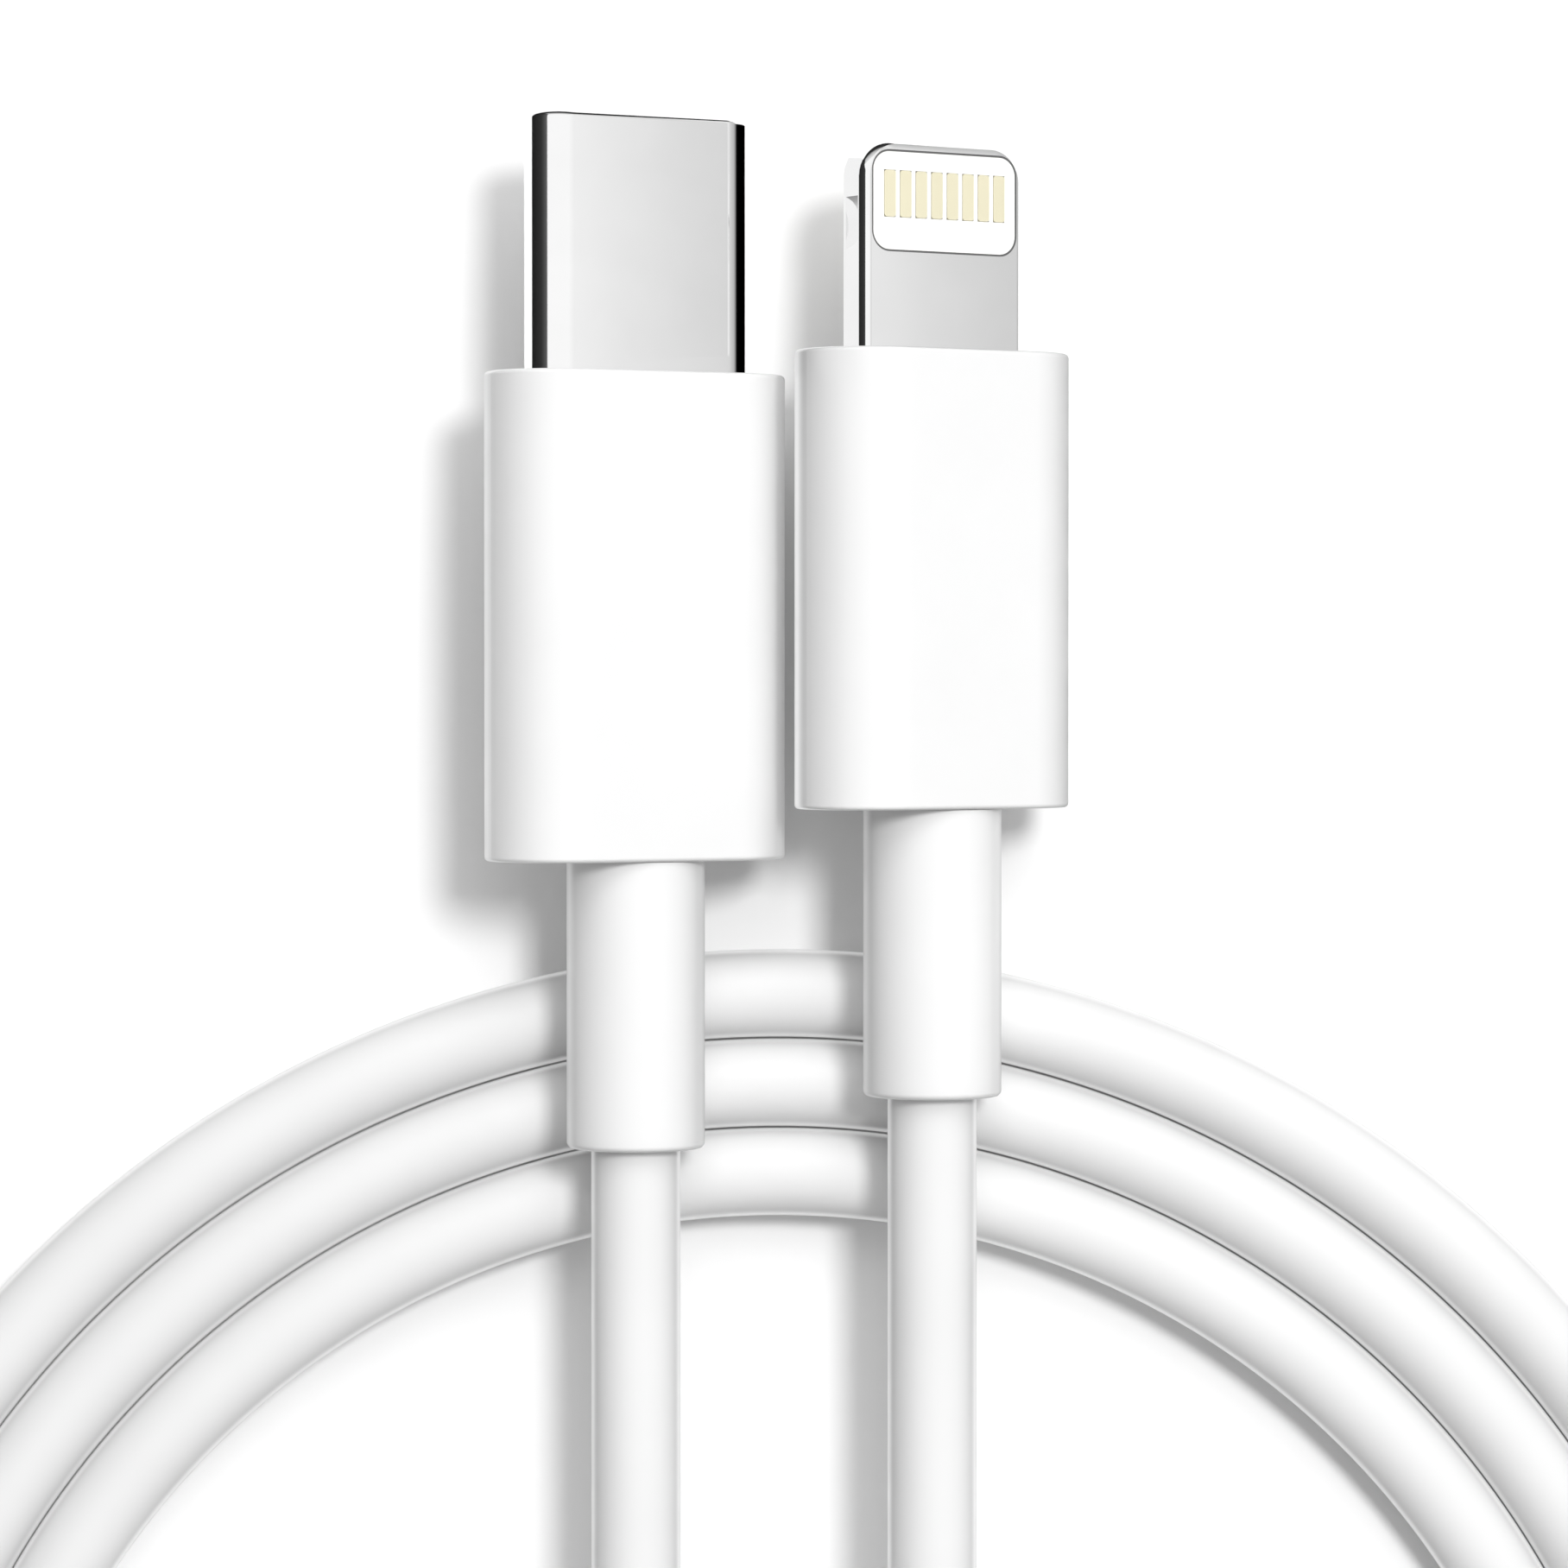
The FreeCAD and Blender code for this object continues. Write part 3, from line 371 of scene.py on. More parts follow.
def cover_skin(end, place):
    """Hard white cover: a rounded bar with softened rims, hollow, with a tail hole and a front opening."""
    high = local_size(end + "_cover", place)[1]
    hx, hz, length = high.x, high.z, high.y
    if end == "oval":
        shell = local_size("oval_shell", place)[1]
        ox, oz = shell.x + SHELL_SLIT, shell.z + SHELL_SLIT
        corner = oz
    else:
        ox, oz = TAB_SLOT
        corner = TAB_SLOT_CORNER
    hole, lip = TAIL_HOLE_R, HOLE_LIP
    inside = (hx - COVER_WALL, hz - COVER_WALL, hz - COVER_WALL)
    rings, sharp = [], []

    def add(*sections, hard=False):
        if hard:
            sharp.append(len(rings))
        rings.extend(sections)

    add(section(hole, hole, hole, COVER_END), hard=True)
    add(section(hole, hole, hole, lip))
    add(section(hole + lip, hole + lip, hole + lip, 0))
    add(*fillet(hx, hz, hz, 0, COVER_EDGE, -1, start_on_side=False))
    add(*fillet(hx, hz, hz, length, COVER_EDGE, 1, start_on_side=True))
    add(section(ox + lip, oz + lip, corner + lip, length))
    add(section(ox, oz, corner, length - lip))
    add(section(ox, oz, corner, length - COVER_END), hard=True)
    add(section(*inside, length - COVER_END), hard=True)
    add(section(*inside, COVER_END), hard=True)
    skin = loft(end + "_cover_skin", [[place @ p for p in ring] for ring in rings], sharp)
    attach(skin, end + "_plug")
    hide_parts(end + "_cover")
    return skin


def shell_skin(place):
    """Deep-drawn steel shell of the oval plug, rounded over at its mouth."""
    low, high = local_size("oval_shell", place)
    hx, hz = high.x, high.z
    inside = (hx - SHELL_WALL, hz - SHELL_WALL, hz - SHELL_WALL)
    rings = [section(hx, hz, hz, low.y)]
    rings += fillet(hx, hz, hz, high.y, SHELL_RIM, 1, start_on_side=True)
    rings += [section(*inside, high.y - SHELL_LIP), section(*inside, low.y)]
    skin = loft("oval_shell_skin", [[place @ p for p in ring] for ring in rings], (0, len(rings) - 1))
    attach(skin, "oval_plug")
    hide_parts("oval_shell")
    return skin


def insert_gap_shade(place, side):
    """Painted shade: a dark sheet in the gap between the tab's metal and its white insert, on the front (side
    1) or back (side -1).
    """
    low, high = local_size("tab_insert", place)
    half_l, middle = (high.y - low.y) / 2 + INSET_GAP, (high.y + low.y) / 2
    against_tab, against_insert = SEAM_CLEAR, INSET_GAP - SEAM_CLEAR
    corners = [(against_tab, SEAM_TOP), (against_tab, SEAM_BOTTOM),
               (against_insert, SEAM_BOTTOM), (against_insert, SEAM_TOP)]
    rings = []
    for inset, depth in corners[::side]:
        outline = section(INSET_HALF_W - inset, half_l - inset, INSET_CORNER - inset, 0)
        rings.append([place @ Vector((p.x, middle + p.z, side * (high.z - depth))) for p in outline])
    skin = loft("tab_insert_seam_" + ("front" if side > 0 else "back"), rings, range(len(rings)))
    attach(skin, "tab_plug")
    return skin


# =================================================================== materials
WHITE = (0.81, 0.81, 0.81)
CABLE_WHITE = (0.76, 0.76, 0.76)
BRUSHED_Y = (1, 0.03, 1)                # stretches noise into lines along Y
NOISE_LOW, NOISE_HIGH = 0.3, 0.7        # noise seldom leaves this range
# Cells per metre of each noise.
PLASTIC_MOTTLE = 160
PLASTIC_GLOSS = 700
METAL_LINES = 9000
METAL_PATCHES = 420
BRAID_STRANDS = 900
# How steeply a surface turns away, from 0 to 1, where its painted rim light begins and where it is full.
RIM_FROM = 0.5
RIM_TO = 0.75
RIM_SIDE = 0.3                          # the normal's X where the change from the left to the right side ends
# The covers are one plastic. The tab plug's copy is painted with stronger edge shade and less painted rim
# light on its right side, as it has no neighbour to shade that side.
COVER_PLASTIC = {"oval": "cover_plastic", "tab": "tab_cover_painted_shade_plastic"}


class Nodes:
    """Small helper round a node tree."""

    def __init__(self, tree):
        self.tree = tree

    def add(self, kind, **values):
        node = self.tree.nodes.new(kind)
        for key, value in values.items():
            setattr(node, key, value)
        return node

    def link(self, source, target):
        self.tree.links.new(source, target)

    def noise(self, vector, scale, detail=3.0, roughness=0.5):
        node = self.add("ShaderNodeTexNoise")
        node.inputs["Scale"].default_value = scale
        node.inputs["Detail"].default_value = detail
        node.inputs["Roughness"].default_value = roughness
        self.link(vector, node.inputs["Vector"])
        return node.outputs["Fac"]

    def spread(self, value, low, high):
        """Maps a noise value to the range low to high."""
        node = self.add("ShaderNodeMapRange")
        node.inputs["From Min"].default_value = NOISE_LOW
        node.inputs["From Max"].default_value = NOISE_HIGH
        node.inputs["To Min"].default_value = low
        node.inputs["To Max"].default_value = high
        self.link(value, node.inputs["Value"])
        return node.outputs["Result"]

    def stretch(self, vector, x, y, z):
        node = self.add("ShaderNodeMapping")
        node.inputs["Scale"].default_value = (x, y, z)
        self.link(vector, node.inputs["Vector"])
        return node.outputs["Vector"]

    def blend_colours(self, factor, first, second):
        """first where factor is 0 and second where it is 1. A mix node's colours are its inputs 6 and 7."""
        node = self.add("ShaderNodeMix", data_type="RGBA")
        node.inputs[6].default_value = (*first, 1)
        node.inputs[7].default_value = (*second, 1)
        self.link(factor, node.inputs[0])
        return node.outputs[2]

    def painted_edge_shade(self, colour, amount):
        """Painted shade: colour times 1 - amount * (1 - cos of the viewing angle) squared, darker where the
        surface turns away.
        """
        weight = self.add("ShaderNodeLayerWeight")
        weight.inputs["Blend"].default_value = 0.5
        square = self.add("ShaderNodeMath", operation="POWER")
        square.inputs[1].default_value = 2
        self.link(weight.outputs["Facing"], square.inputs[0])
        left = self.add("ShaderNodeMath", operation="MULTIPLY_ADD")
        left.inputs[1].default_value = -amount
        left.inputs[2].default_value = 1
        self.link(square.outputs[0], left.inputs[0])
        scaled = self.add("ShaderNodeVectorMath", operation="SCALE")
        self.link(colour, scaled.inputs[0])
        self.link(left.outputs[0], scaled.inputs["Scale"])
        return scaled.outputs[0]

    def painted_rim_light(self, base, rim, right_share):
        """Painted rim light: glow strength that rises from base to base + rim where a surface is seen almost
        edge on. A surface that is turned to the right gets only right_share of the rim."""
        normal = self.add("ShaderNodeSeparateXYZ")
        self.link(self.add("ShaderNodeNewGeometry").outputs["Normal"], normal.inputs["Vector"])
        side = self.add("ShaderNodeMapRange", interpolation_type="SMOOTHSTEP")
        side.inputs["From Min"].default_value = -RIM_SIDE
        side.inputs["From Max"].default_value = RIM_SIDE
        side.inputs["To Min"].default_value = base + rim
        side.inputs["To Max"].default_value = base + rim * right_share
        self.link(normal.outputs["X"], side.inputs["Value"])
        weight = self.add("ShaderNodeLayerWeight")
        weight.inputs["Blend"].default_value = 0.5
        rise = self.add("ShaderNodeMapRange", interpolation_type="SMOOTHSTEP")
        rise.inputs["From Min"].default_value = RIM_FROM
        rise.inputs["From Max"].default_value = RIM_TO
        rise.inputs["To Min"].default_value = base
        self.link(side.outputs["Result"], rise.inputs["To Max"])
        self.link(weight.outputs["Facing"], rise.inputs["Value"])
        return rise.outputs["Result"]

    def bump(self, height, strength, distance):
        node = self.add("ShaderNodeBump")
        node.inputs["Strength"].default_value = strength
        node.inputs["Distance"].default_value = distance
        self.link(height, node.inputs["Height"])
        return node.outputs["Normal"]


def new_material(name):
    material = bpy.data.materials.new(name)
    material.use_nodes = True
    material.node_tree.nodes.clear()
    nodes = Nodes(material.node_tree)
    shader = nodes.add("ShaderNodeBsdfPrincipled")
    output = nodes.add("ShaderNodeOutputMaterial")
    nodes.link(shader.outputs["BSDF"], output.inputs["Surface"])
    place = nodes.add("ShaderNodeTexCoord").outputs["Object"]
    return material, nodes, shader, place


def plastic(name, colour, rough, grain=0.2, depth=0.002, tint=0.03, painted_glow=0.0, edge=0.0, rim=0.0,
            right_share=1.0):
    """Moulded plastic or rubber: slight mottling, uneven gloss and a fine grain (grain and depth in mm).
    The glow is painted light: an even glow in the plastic's own colour that lightens its shade, standing for
    the light that soft white plastic lets through. edge is painted shade: how much darker the colour is
    painted where the surface turns away from the eye, and rim is a painted rim light, a faint glowing line
    along such an edge."""
    material, nodes, shader, place = new_material(name)
    dark = [c * (1 - tint) for c in colour]
    mottle = nodes.spread(nodes.noise(place, PLASTIC_MOTTLE, 4), 0, 1)
    shade = nodes.blend_colours(mottle, dark, colour)
    # Painted shade: the colour is darker where the surface turns away from the eye.
    if edge:
        shade = nodes.painted_edge_shade(shade, edge)
    nodes.link(shade, shader.inputs["Base Color"])
    gloss = nodes.spread(nodes.noise(place, PLASTIC_GLOSS, 3), rough * 0.85, rough * 1.15)
    nodes.link(gloss, shader.inputs["Roughness"])
    height = nodes.noise(place, 1 / (grain * MM), 2)
    nodes.link(nodes.bump(height, 0.25, depth * MM), shader.inputs["Normal"])
    # Painted light: the plastic glows evenly in its own colour.
    shader.inputs["Emission Color"].default_value = (*colour, 1)
    shader.inputs["Emission Strength"].default_value = painted_glow
    # Painted rim light: the surface glows along edges that are seen almost edge on.
    if rim:
        nodes.link(nodes.painted_rim_light(painted_glow, rim, right_share), shader.inputs["Emission Strength"])
    return material


def metal(name, colour, rough, along=(1, 1, 1), depth=0.0006, tint=0.03, share=1.0):
    """Worked metal: fine lines drawn out along the axis with the smallest factor, and uneven polish."""
    material, nodes, shader, place = new_material(name)
    shader.inputs["Metallic"].default_value = share
    lines = nodes.noise(nodes.stretch(place, *along), METAL_LINES, 3, 0.6)
    patches = nodes.noise(place, METAL_PATCHES, 4)
    dark = [c * (1 - tint) for c in colour]
    nodes.link(nodes.blend_colours(nodes.spread(patches, 0, 1), dark, colour), shader.inputs["Base Color"])
    polish = nodes.add("ShaderNodeMath", operation="ADD")
    nodes.link(nodes.spread(lines, rough * 0.5, rough * 0.8), polish.inputs[0])
    nodes.link(nodes.spread(patches, rough * 0.3, rough * 0.4), polish.inputs[1])
    nodes.link(polish.outputs[0], shader.inputs["Roughness"])
    nodes.link(nodes.bump(lines, 0.15, depth * MM), shader.inputs["Normal"])
    return material


def woven(name, colour, gap_shade_colour):
    """Braided wire: two crossing sets of strands, with painted shade in the darker gaps between them."""
    material, nodes, shader, place = new_material(name)
    shader.inputs["Metallic"].default_value = 1
    shader.inputs["Roughness"].default_value = 0.35
    waves = []
    for lean in (1, -1):
        wave = nodes.add("ShaderNodeTexWave", bands_direction="DIAGONAL")
        wave.inputs["Scale"].default_value = BRAID_STRANDS
        nodes.link(nodes.stretch(place, lean, 1, 1), wave.inputs["Vector"])
        waves.append(wave.outputs["Fac"])
    over = nodes.add("ShaderNodeMath", operation="MAXIMUM")
    nodes.link(waves[0], over.inputs[0])
    nodes.link(waves[1], over.inputs[1])
    # Painted shade: the gaps between the strands are a darker copper.
    nodes.link(nodes.blend_colours(over.outputs[0], gap_shade_colour, colour), shader.inputs["Base Color"])
    nodes.link(nodes.bump(over.outputs[0], 0.6, 0.04 * MM), shader.inputs["Normal"])
    return material


def make_materials():
    """A material for each material slot of the record, one for the painted shade in the gap round the tab's
    insert and one for the tab's cover, which has stronger painted edge shade.
    """
    return {
        # The cable, boots and covers get painted edge shade and a painted rim light; the cable also has a
        # faint painted glow.
        "cable_jacket": plastic("cable_jacket", CABLE_WHITE, 0.42, grain=0.12, painted_glow=0.02, edge=0.65, rim=0.4),
        "strain_relief": plastic("strain_relief", WHITE, 0.48, grain=0.12, edge=0.5,
                                 rim=0.25, right_share=0.5),
        "cover_plastic": plastic("cover_plastic", WHITE, 0.34, grain=0.3, depth=0.001, edge=0.45,
                                 rim=0.3, right_share=0.6),
        "tab_cover_painted_shade_plastic": plastic("tab_cover_painted_shade_plastic", WHITE, 0.34, grain=0.3, depth=0.001, edge=0.85,
                                     rim=0.55, right_share=0.05),
        "shell_steel": metal("shell_steel", (0.95, 0.95, 0.95), 0.07, BRUSHED_Y),
        "tab_steel": metal("tab_steel", (0.95, 0.95, 0.95), 0.07, BRUSHED_Y),
        "gold_contact": metal("gold_contact", (0.86, 0.81, 0.6), 0.45, BRUSHED_Y, share=0.45),
        "insert_plastic": plastic("insert_plastic", (0.9, 0.9, 0.88), 0.34, grain=0.1),
        # Painted shade: near-black plastic for the sheet in the gap round the tab's insert.
        "painted_gap_shade": plastic("painted_gap_shade", (0.12, 0.12, 0.12), 0.6, grain=0.1),
        "insulator": plastic("insulator", (0.02, 0.02, 0.022), 0.5, grain=0.08),
        "inner_mould": plastic("inner_mould", (0.7, 0.7, 0.66), 0.55, grain=0.15),
        "board": plastic("board", (0.02, 0.16, 0.05), 0.35, grain=0.1, tint=0.2),
        "components": plastic("components", (0.03, 0.03, 0.03), 0.5, grain=0.06),
        "can_metal": metal("can_metal", (0.8, 0.8, 0.78), 0.3),
        "ferrule_metal": metal("ferrule_metal", (0.78, 0.78, 0.76), 0.35),
        "spring_steel": metal("spring_steel", (0.82, 0.82, 0.82), 0.25, BRUSHED_Y),
        "braid": woven("braid", (0.85, 0.68, 0.55), (0.2, 0.13, 0.09)),
        "wire_red": plastic("wire_red", (0.5, 0.01, 0.01), 0.35),
        "wire_black": plastic("wire_black", (0.01, 0.01, 0.01), 0.35),
        "wire_green": plastic("wire_green", (0.01, 0.25, 0.03), 0.35),
        "wire_white": plastic("wire_white", (0.8, 0.8, 0.76), 0.35),
        "wire_blue": plastic("wire_blue", (0.02, 0.06, 0.4), 0.35),
        "wire_ends": metal("wire_ends", (0.85, 0.6, 0.45), 0.35),
    }


def dress(obj, material):
    """Gives an object one material, on the object rather than on its mesh."""
    if not obj.data.materials:
        obj.data.materials.append(material)
    for slot in obj.material_slots:
        slot.link = "OBJECT"
        slot.material = material


# =================================================================== stage, light, camera
FLOOR_HALF = 3.0
FLOOR_DROP = 0.02 * MM     # below the cable, which rests on z = 0
FLOOR_GREYS = (0.895, 0.9)
TARGET = Vector((0.2, 59.89, 5.65)) * MM         # what the camera looks at, between the two covers
CAMERA_PLACE = Vector((0.2, 63.39, 199.65)) * MM
SENSOR = 36
LENS = 128.3
# The main light, and a softer light from beyond the tips. Directions run from the object to the light.
KEY_TOWARDS = Vector((1.55, 1.45, 5.75)).normalized()
KEY_DISTANCE = 0.7
KEY_SIZE = 0.15
KEY_POWER = 2.9
FAR_TOWARDS = Vector((0.1, 0.62, 0.78)).normalized()
FAR_DISTANCE = 0.6
FAR_SIZE = 0.4
FAR_POWER = 1.2
FILL = 0.57                # room light overhead
FILL_HORIZON = 0.15        # the share of it that comes from the horizon
FILL_LEAN = (0.45, 0.6, 0)              # towards the brighter side of the room

# Glossy cards: upright, from CARDS_Y[0] to CARDS_Y[1], and stops of (height in mm, brightness).
CARDS_Y = (-0.05, 0.25)
CARDS_X = 0.06
LEFT_WALL_HEIGHT = 0.08
RIGHT_WALL_HEIGHT = 0.1
FAR_WALL_Y = 0.15
RIGHT_WALL = ((0, 0.5), (23, 0.62), (27, 0.68), (34, 0.88), (41, 0.8), (49, 0.7), (52, 0.74), (60, 0.93),
              (100, 1))
LEFT_WALL = ((0, 0.01), (40, 0.03), (70, 0.1), (80, 0.2))
FAR_WALL = ((0, 0.02), (38, 0.03), (55, 0.5), (100, 0.85))
# The card between the plugs, as the tab and the shell see it. SEEN_THROUGH is how clear it is to the shell.
BETWEEN_X = 0.4 * MM
BETWEEN_HEIGHT = 18 * MM
BETWEEN_BEHIND = 0.1 * MM               # starts this far behind the oval cover's front
BETWEEN_BEYOND = 0.3 * MM               # and ends this far beyond the shell's tip
FOR_TAB = ((0, 0.95), (6.9, 0.95), (7.3, 0.02), (16, 0.05), (18, 0.9))
FOR_SHELL = ((0, 0.0), (4.9, 0.0), (5.4, 0.5), (6.2, 0.7))
SEEN_THROUGH = ((0, 0.0), (6.2, 0.0), (6.3, 1.0), (18, 1.0))
POCKET_SLANT = (0.15, 0.6)              # the tab's catch pockets look along Y, and see a darker card
POCKET_LEVEL = 0.05
# The card along the tab's cover.
COVER_SIDE = ((6.2, 0.71), (12, 0.86))
COVER_SIDE_BEYOND = 0.05 * MM


def floor():
    """Plain pale floor."""
    mesh = bpy.data.meshes.new("floor")
    h = FLOOR_HALF
    mesh.from_pydata([(-h, -h, 0), (h, -h, 0), (h, h, 0), (-h, h, 0)], [], [(0, 1, 2, 3)])
    obj = bpy.data.objects.new("floor", mesh)
    obj.location.z = -FLOOR_DROP
    bpy.context.scene.collection.objects.link(obj)
    material, nodes, shader, place = new_material("pale_floor")
    tone = nodes.spread(nodes.noise(place, 30, 2), 0, 1)
    darker, lighter = ((grey, grey, grey) for grey in FLOOR_GREYS)
    nodes.link(nodes.blend_colours(tone, darker, lighter), shader.inputs["Base Color"])
    shader.inputs["Roughness"].default_value = 1
    shader.inputs["Specular IOR Level"].default_value = 0
    mesh.materials.append(material)
    return obj


def glossy_card(name, corners, colour):
    """A card that is seen only in reflections. colour(nodes, light) sets the light's colour, and may return
    another surface to use instead of the plain light."""
    mesh = bpy.data.meshes.new(name)
    mesh.from_pydata(corners, [], [(0, 1, 2, 3)])
    obj = bpy.data.objects.new(name, mesh)
    bpy.context.scene.collection.objects.link(obj)
    material = bpy.data.materials.new(name)
    material.use_nodes = True
    material.node_tree.nodes.clear()
    nodes = Nodes(material.node_tree)
    light = nodes.add("ShaderNodeEmission")
    output = nodes.add("ShaderNodeOutputMaterial")
    surface = colour(nodes, light) or light.outputs[0]
    nodes.link(surface, output.inputs["Surface"])
    mesh.materials.append(material)
    obj.visible_camera = False
    obj.visible_diffuse = False
    obj.visible_shadow = False
    obj.visible_transmission = False
    obj.visible_volume_scatter = False
    return obj


def height_ramp(nodes, stops):
    """Grey that follows the height: stops are (height in mm, brightness)."""
    place = nodes.add("ShaderNodeTexCoord").outputs["Object"]
    parts = nodes.add("ShaderNodeSeparateXYZ")
    nodes.link(place, parts.inputs[0])
    span = nodes.add("ShaderNodeMapRange")
    span.inputs["From Min"].default_value = stops[0][0] * MM
    span.inputs["From Max"].default_value = stops[-1][0] * MM
    nodes.link(parts.outputs["Z"], span.inputs["Value"])
    ramp = nodes.add("ShaderNodeValToRGB")
    points = ramp.color_ramp.elements
    while len(points) < len(stops):
        points.new(0.5)
    width = stops[-1][0] - stops[0][0]
    for point, (height, strength) in zip(points, stops):
        point.position = (height - stops[0][0]) / width
        point.color = (strength, strength, strength, 1)
    nodes.link(span.outputs["Result"], ramp.inputs["Fac"])
    return ramp.outputs["Color"]


def wall(x, y0, y1, z1, z0=0):
    """Corners of an upright card that stands along Y."""
    return [(x, y0, z0), (x, y1, z0), (x, y1, z1), (x, y0, z1)]


def shaded(stops):
    """Colour function of a card whose light follows the height."""
    def colour(nodes, light):
        nodes.link(height_ramp(nodes, stops), light.inputs["Color"])
    return colour


def between_plugs(nodes, light):
    """Seen from the shell: black below and clear above. Seen from the tab: white below and black above."""
    facing = nodes.add("ShaderNodeNewGeometry").outputs["Backfacing"]
    for_tab = height_ramp(nodes, FOR_TAB)
    for_shell = height_ramp(nodes, FOR_SHELL)
    slant = nodes.add("ShaderNodeSeparateXYZ")
    nodes.link(nodes.add("ShaderNodeNewGeometry").outputs["Incoming"], slant.inputs[0])
    level = nodes.add("ShaderNodeMapRange")
    level.inputs["From Min"].default_value = POCKET_SLANT[0]
    level.inputs["From Max"].default_value = POCKET_SLANT[1]
    level.inputs["To Min"].default_value = 1
    level.inputs["To Max"].default_value = POCKET_LEVEL
    nodes.link(slant.outputs["Y"], level.inputs["Value"])
    pocket = nodes.add("ShaderNodeVectorMath", operation="SCALE")
    nodes.link(for_tab, pocket.inputs[0])
    nodes.link(level.outputs["Result"], pocket.inputs["Scale"])
    pick = nodes.add("ShaderNodeMix", data_type="RGBA")
    nodes.link(facing, pick.inputs[0])
    nodes.link(for_shell, pick.inputs[6])
    nodes.link(pocket.outputs[0], pick.inputs[7])
    nodes.link(pick.outputs[2], light.inputs["Color"])
    cut = height_ramp(nodes, SEEN_THROUGH)
    clear = nodes.add("ShaderNodeBsdfTransparent")
    side = nodes.add("ShaderNodeMath", operation="SUBTRACT")
    side.inputs[0].default_value = 1
    nodes.link(facing, side.inputs[1])
    share = nodes.add("ShaderNodeMath", operation="MULTIPLY")
    nodes.link(cut, share.inputs[0])
    nodes.link(side.outputs[0], share.inputs[1])
    mix = nodes.add("ShaderNodeMixShader")
    nodes.link(share.outputs[0], mix.inputs[0])
    nodes.link(light.outputs[0], mix.inputs[1])
    nodes.link(clear.outputs[0], mix.inputs[2])
    return mix.outputs[0]


def reflectors():
    """What the polished metal mirrors. The faces see the right wall, whose shading gives them a soft grey.
    The rounded left sides see the dark left wall, and the tips' rims see the dark far wall. A low card
    between the plugs darkens the shell's right side and the tab's left edge, and a card along the tab's cover
    is lighter than the cover itself."""
    x, y = CARDS_X, FAR_WALL_Y
    glossy_card("right_wall", wall(x, *CARDS_Y, RIGHT_WALL_HEIGHT), shaded(RIGHT_WALL))
    glossy_card("left_wall", wall(-x, *CARDS_Y, LEFT_WALL_HEIGHT), shaded(LEFT_WALL))
    top = RIGHT_WALL_HEIGHT
    glossy_card("far_wall", [(-x, y, 0), (x, y, 0), (x, y, top), (-x, y, top)], shaded(FAR_WALL))

    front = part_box("oval_cover")[1].y - BETWEEN_BEHIND
    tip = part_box("oval_shell")[1].y + BETWEEN_BEYOND
    glossy_card("between_plugs", wall(BETWEEN_X, tip, front, BETWEEN_HEIGHT), between_plugs)
    tab_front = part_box("tab_cover")[1].y + COVER_SIDE_BEYOND
    low, high = COVER_SIDE[0][0] * MM, COVER_SIDE[-1][0] * MM
    glossy_card("cover_side", wall(BETWEEN_X, front, tab_front, high, low), shaded(COVER_SIDE))


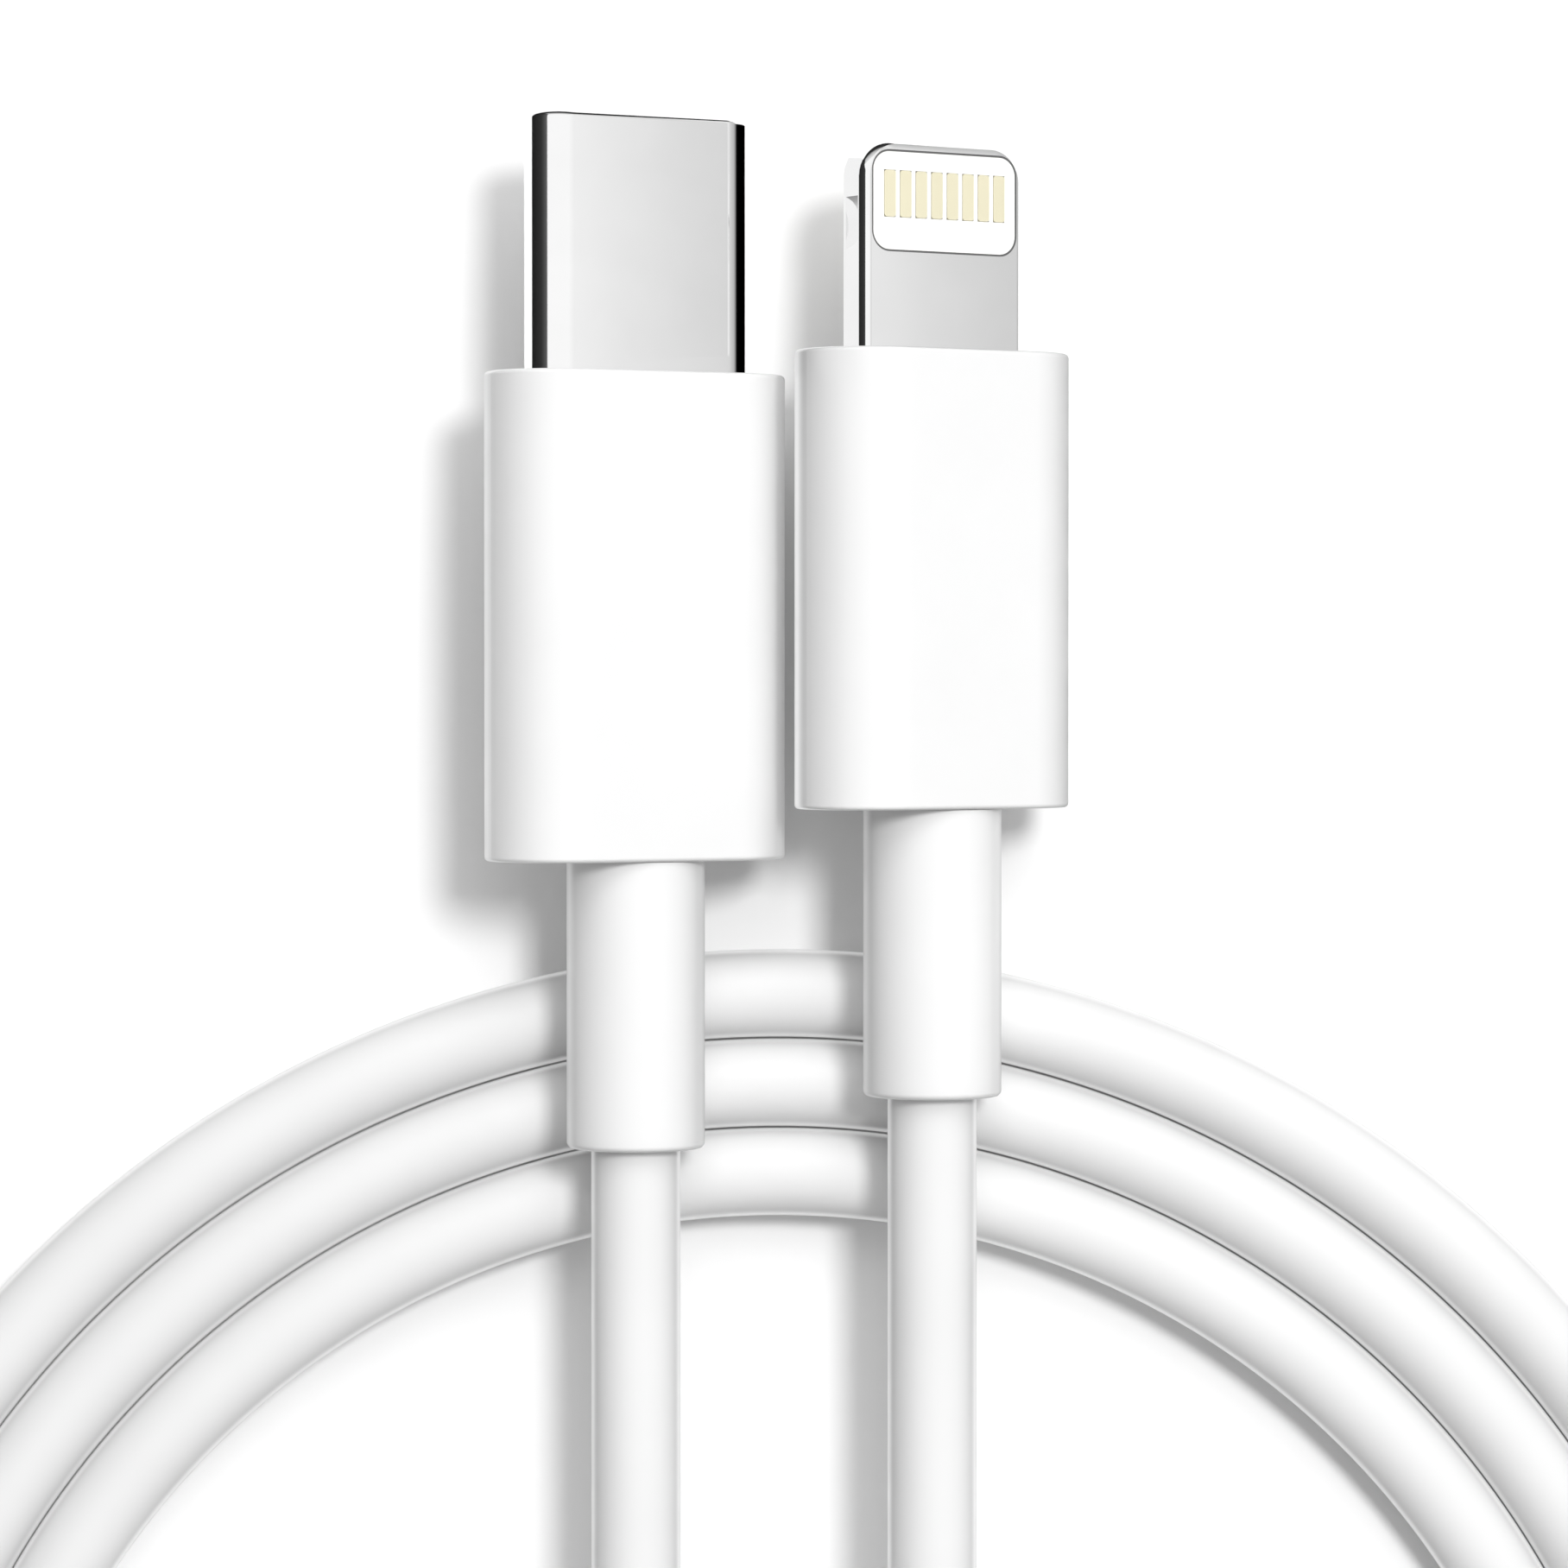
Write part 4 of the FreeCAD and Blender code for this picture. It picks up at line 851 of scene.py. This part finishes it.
def world():
    """Soft white room light, brighter from the right and from beyond the tips. Reflections and the camera see
    plain white."""
    sky = bpy.data.worlds.new("studio")
    bpy.context.scene.world = sky
    sky.use_nodes = True
    sky.node_tree.nodes.clear()
    nodes = Nodes(sky.node_tree)
    direction = nodes.add("ShaderNodeTexCoord").outputs["Generated"]
    lean = nodes.add("ShaderNodeVectorMath", operation="DOT_PRODUCT")
    nodes.link(direction, lean.inputs[0])
    lean.inputs[1].default_value = FILL_LEAN
    parts = nodes.add("ShaderNodeSeparateXYZ")
    nodes.link(direction, parts.inputs[0])
    height = nodes.add("ShaderNodeMapRange")
    height.inputs["To Min"].default_value = FILL * FILL_HORIZON
    height.inputs["To Max"].default_value = FILL
    nodes.link(parts.outputs["Z"], height.inputs["Value"])
    tilted = nodes.add("ShaderNodeMath", operation="ADD")
    tilted.inputs[1].default_value = 1
    nodes.link(lean.outputs["Value"], tilted.inputs[0])
    room = nodes.add("ShaderNodeMath", operation="MULTIPLY")
    nodes.link(height.outputs["Result"], room.inputs[0])
    nodes.link(tilted.outputs[0], room.inputs[1])
    path = nodes.add("ShaderNodeLightPath")
    strength = nodes.add("ShaderNodeMix", data_type="FLOAT")
    strength.inputs[2].default_value = 1
    nodes.link(path.outputs["Is Diffuse Ray"], strength.inputs[0])
    nodes.link(room.outputs[0], strength.inputs[3])
    background = nodes.add("ShaderNodeBackground")
    background.inputs["Color"].default_value = (1, 1, 1, 1)
    nodes.link(strength.outputs[0], background.inputs["Strength"])
    output = nodes.add("ShaderNodeOutputWorld")
    nodes.link(background.outputs[0], output.inputs["Surface"])


def aim(obj, target):
    """Turns a light or camera to look at target, with +Y upwards in its picture."""
    back = (obj.location - target).normalized()
    right = Vector((0, 1, 0)).cross(back).normalized()
    obj.rotation_euler = Matrix((right, back.cross(right), back)).transposed().to_euler()


def disk_light(name, towards, distance, size, power):
    """Round light in one direction from the object, aimed at it and not seen in reflections."""
    data = bpy.data.lights.new(name, "AREA")
    data.shape = "DISK"
    data.size = size
    data.energy = power
    obj = bpy.data.objects.new(name, data)
    obj.location = TARGET + towards * distance
    obj.visible_glossy = False
    bpy.context.scene.collection.objects.link(obj)
    aim(obj, TARGET)
    return obj


def camera():
    data = bpy.data.cameras.new("camera")
    data.sensor_width = SENSOR
    data.lens = LENS
    data.clip_start = 0.01
    data.clip_end = 20
    obj = bpy.data.objects.new("camera", data)
    obj.location = CAMERA_PLACE
    bpy.context.scene.collection.objects.link(obj)
    aim(obj, TARGET)
    bpy.context.scene.camera = obj
    return obj


# =================================================================== put together
materials = make_materials()
for part in frame["record"]["subparts"]:
    dress(NODES[part["node"]], materials[part["material_slot"]])

dress(coil_skin(), materials["cable_jacket"])
for end in ROLL:
    place = plug_place(end)
    for piece in lead_skins(end):
        dress(piece, materials["cable_jacket"])
    dress(jacket_end_skin(end, place), materials["cable_jacket"])
    dress(boot_skin(end, place), materials["strain_relief"])
    dress(cover_skin(end, place), materials[COVER_PLASTIC[end]])
    if end == "oval":
        dress(shell_skin(place), materials["shell_steel"])
    else:
        for face in (1, -1):
            dress(insert_gap_shade(place, face), materials["painted_gap_shade"])

floor()
reflectors()
world()
disk_light("key", KEY_TOWARDS, KEY_DISTANCE, KEY_SIZE, KEY_POWER)
disk_light("far", FAR_TOWARDS, FAR_DISTANCE, FAR_SIZE, FAR_POWER)
camera()
bpy.context.scene.view_settings.view_transform = "Standard"
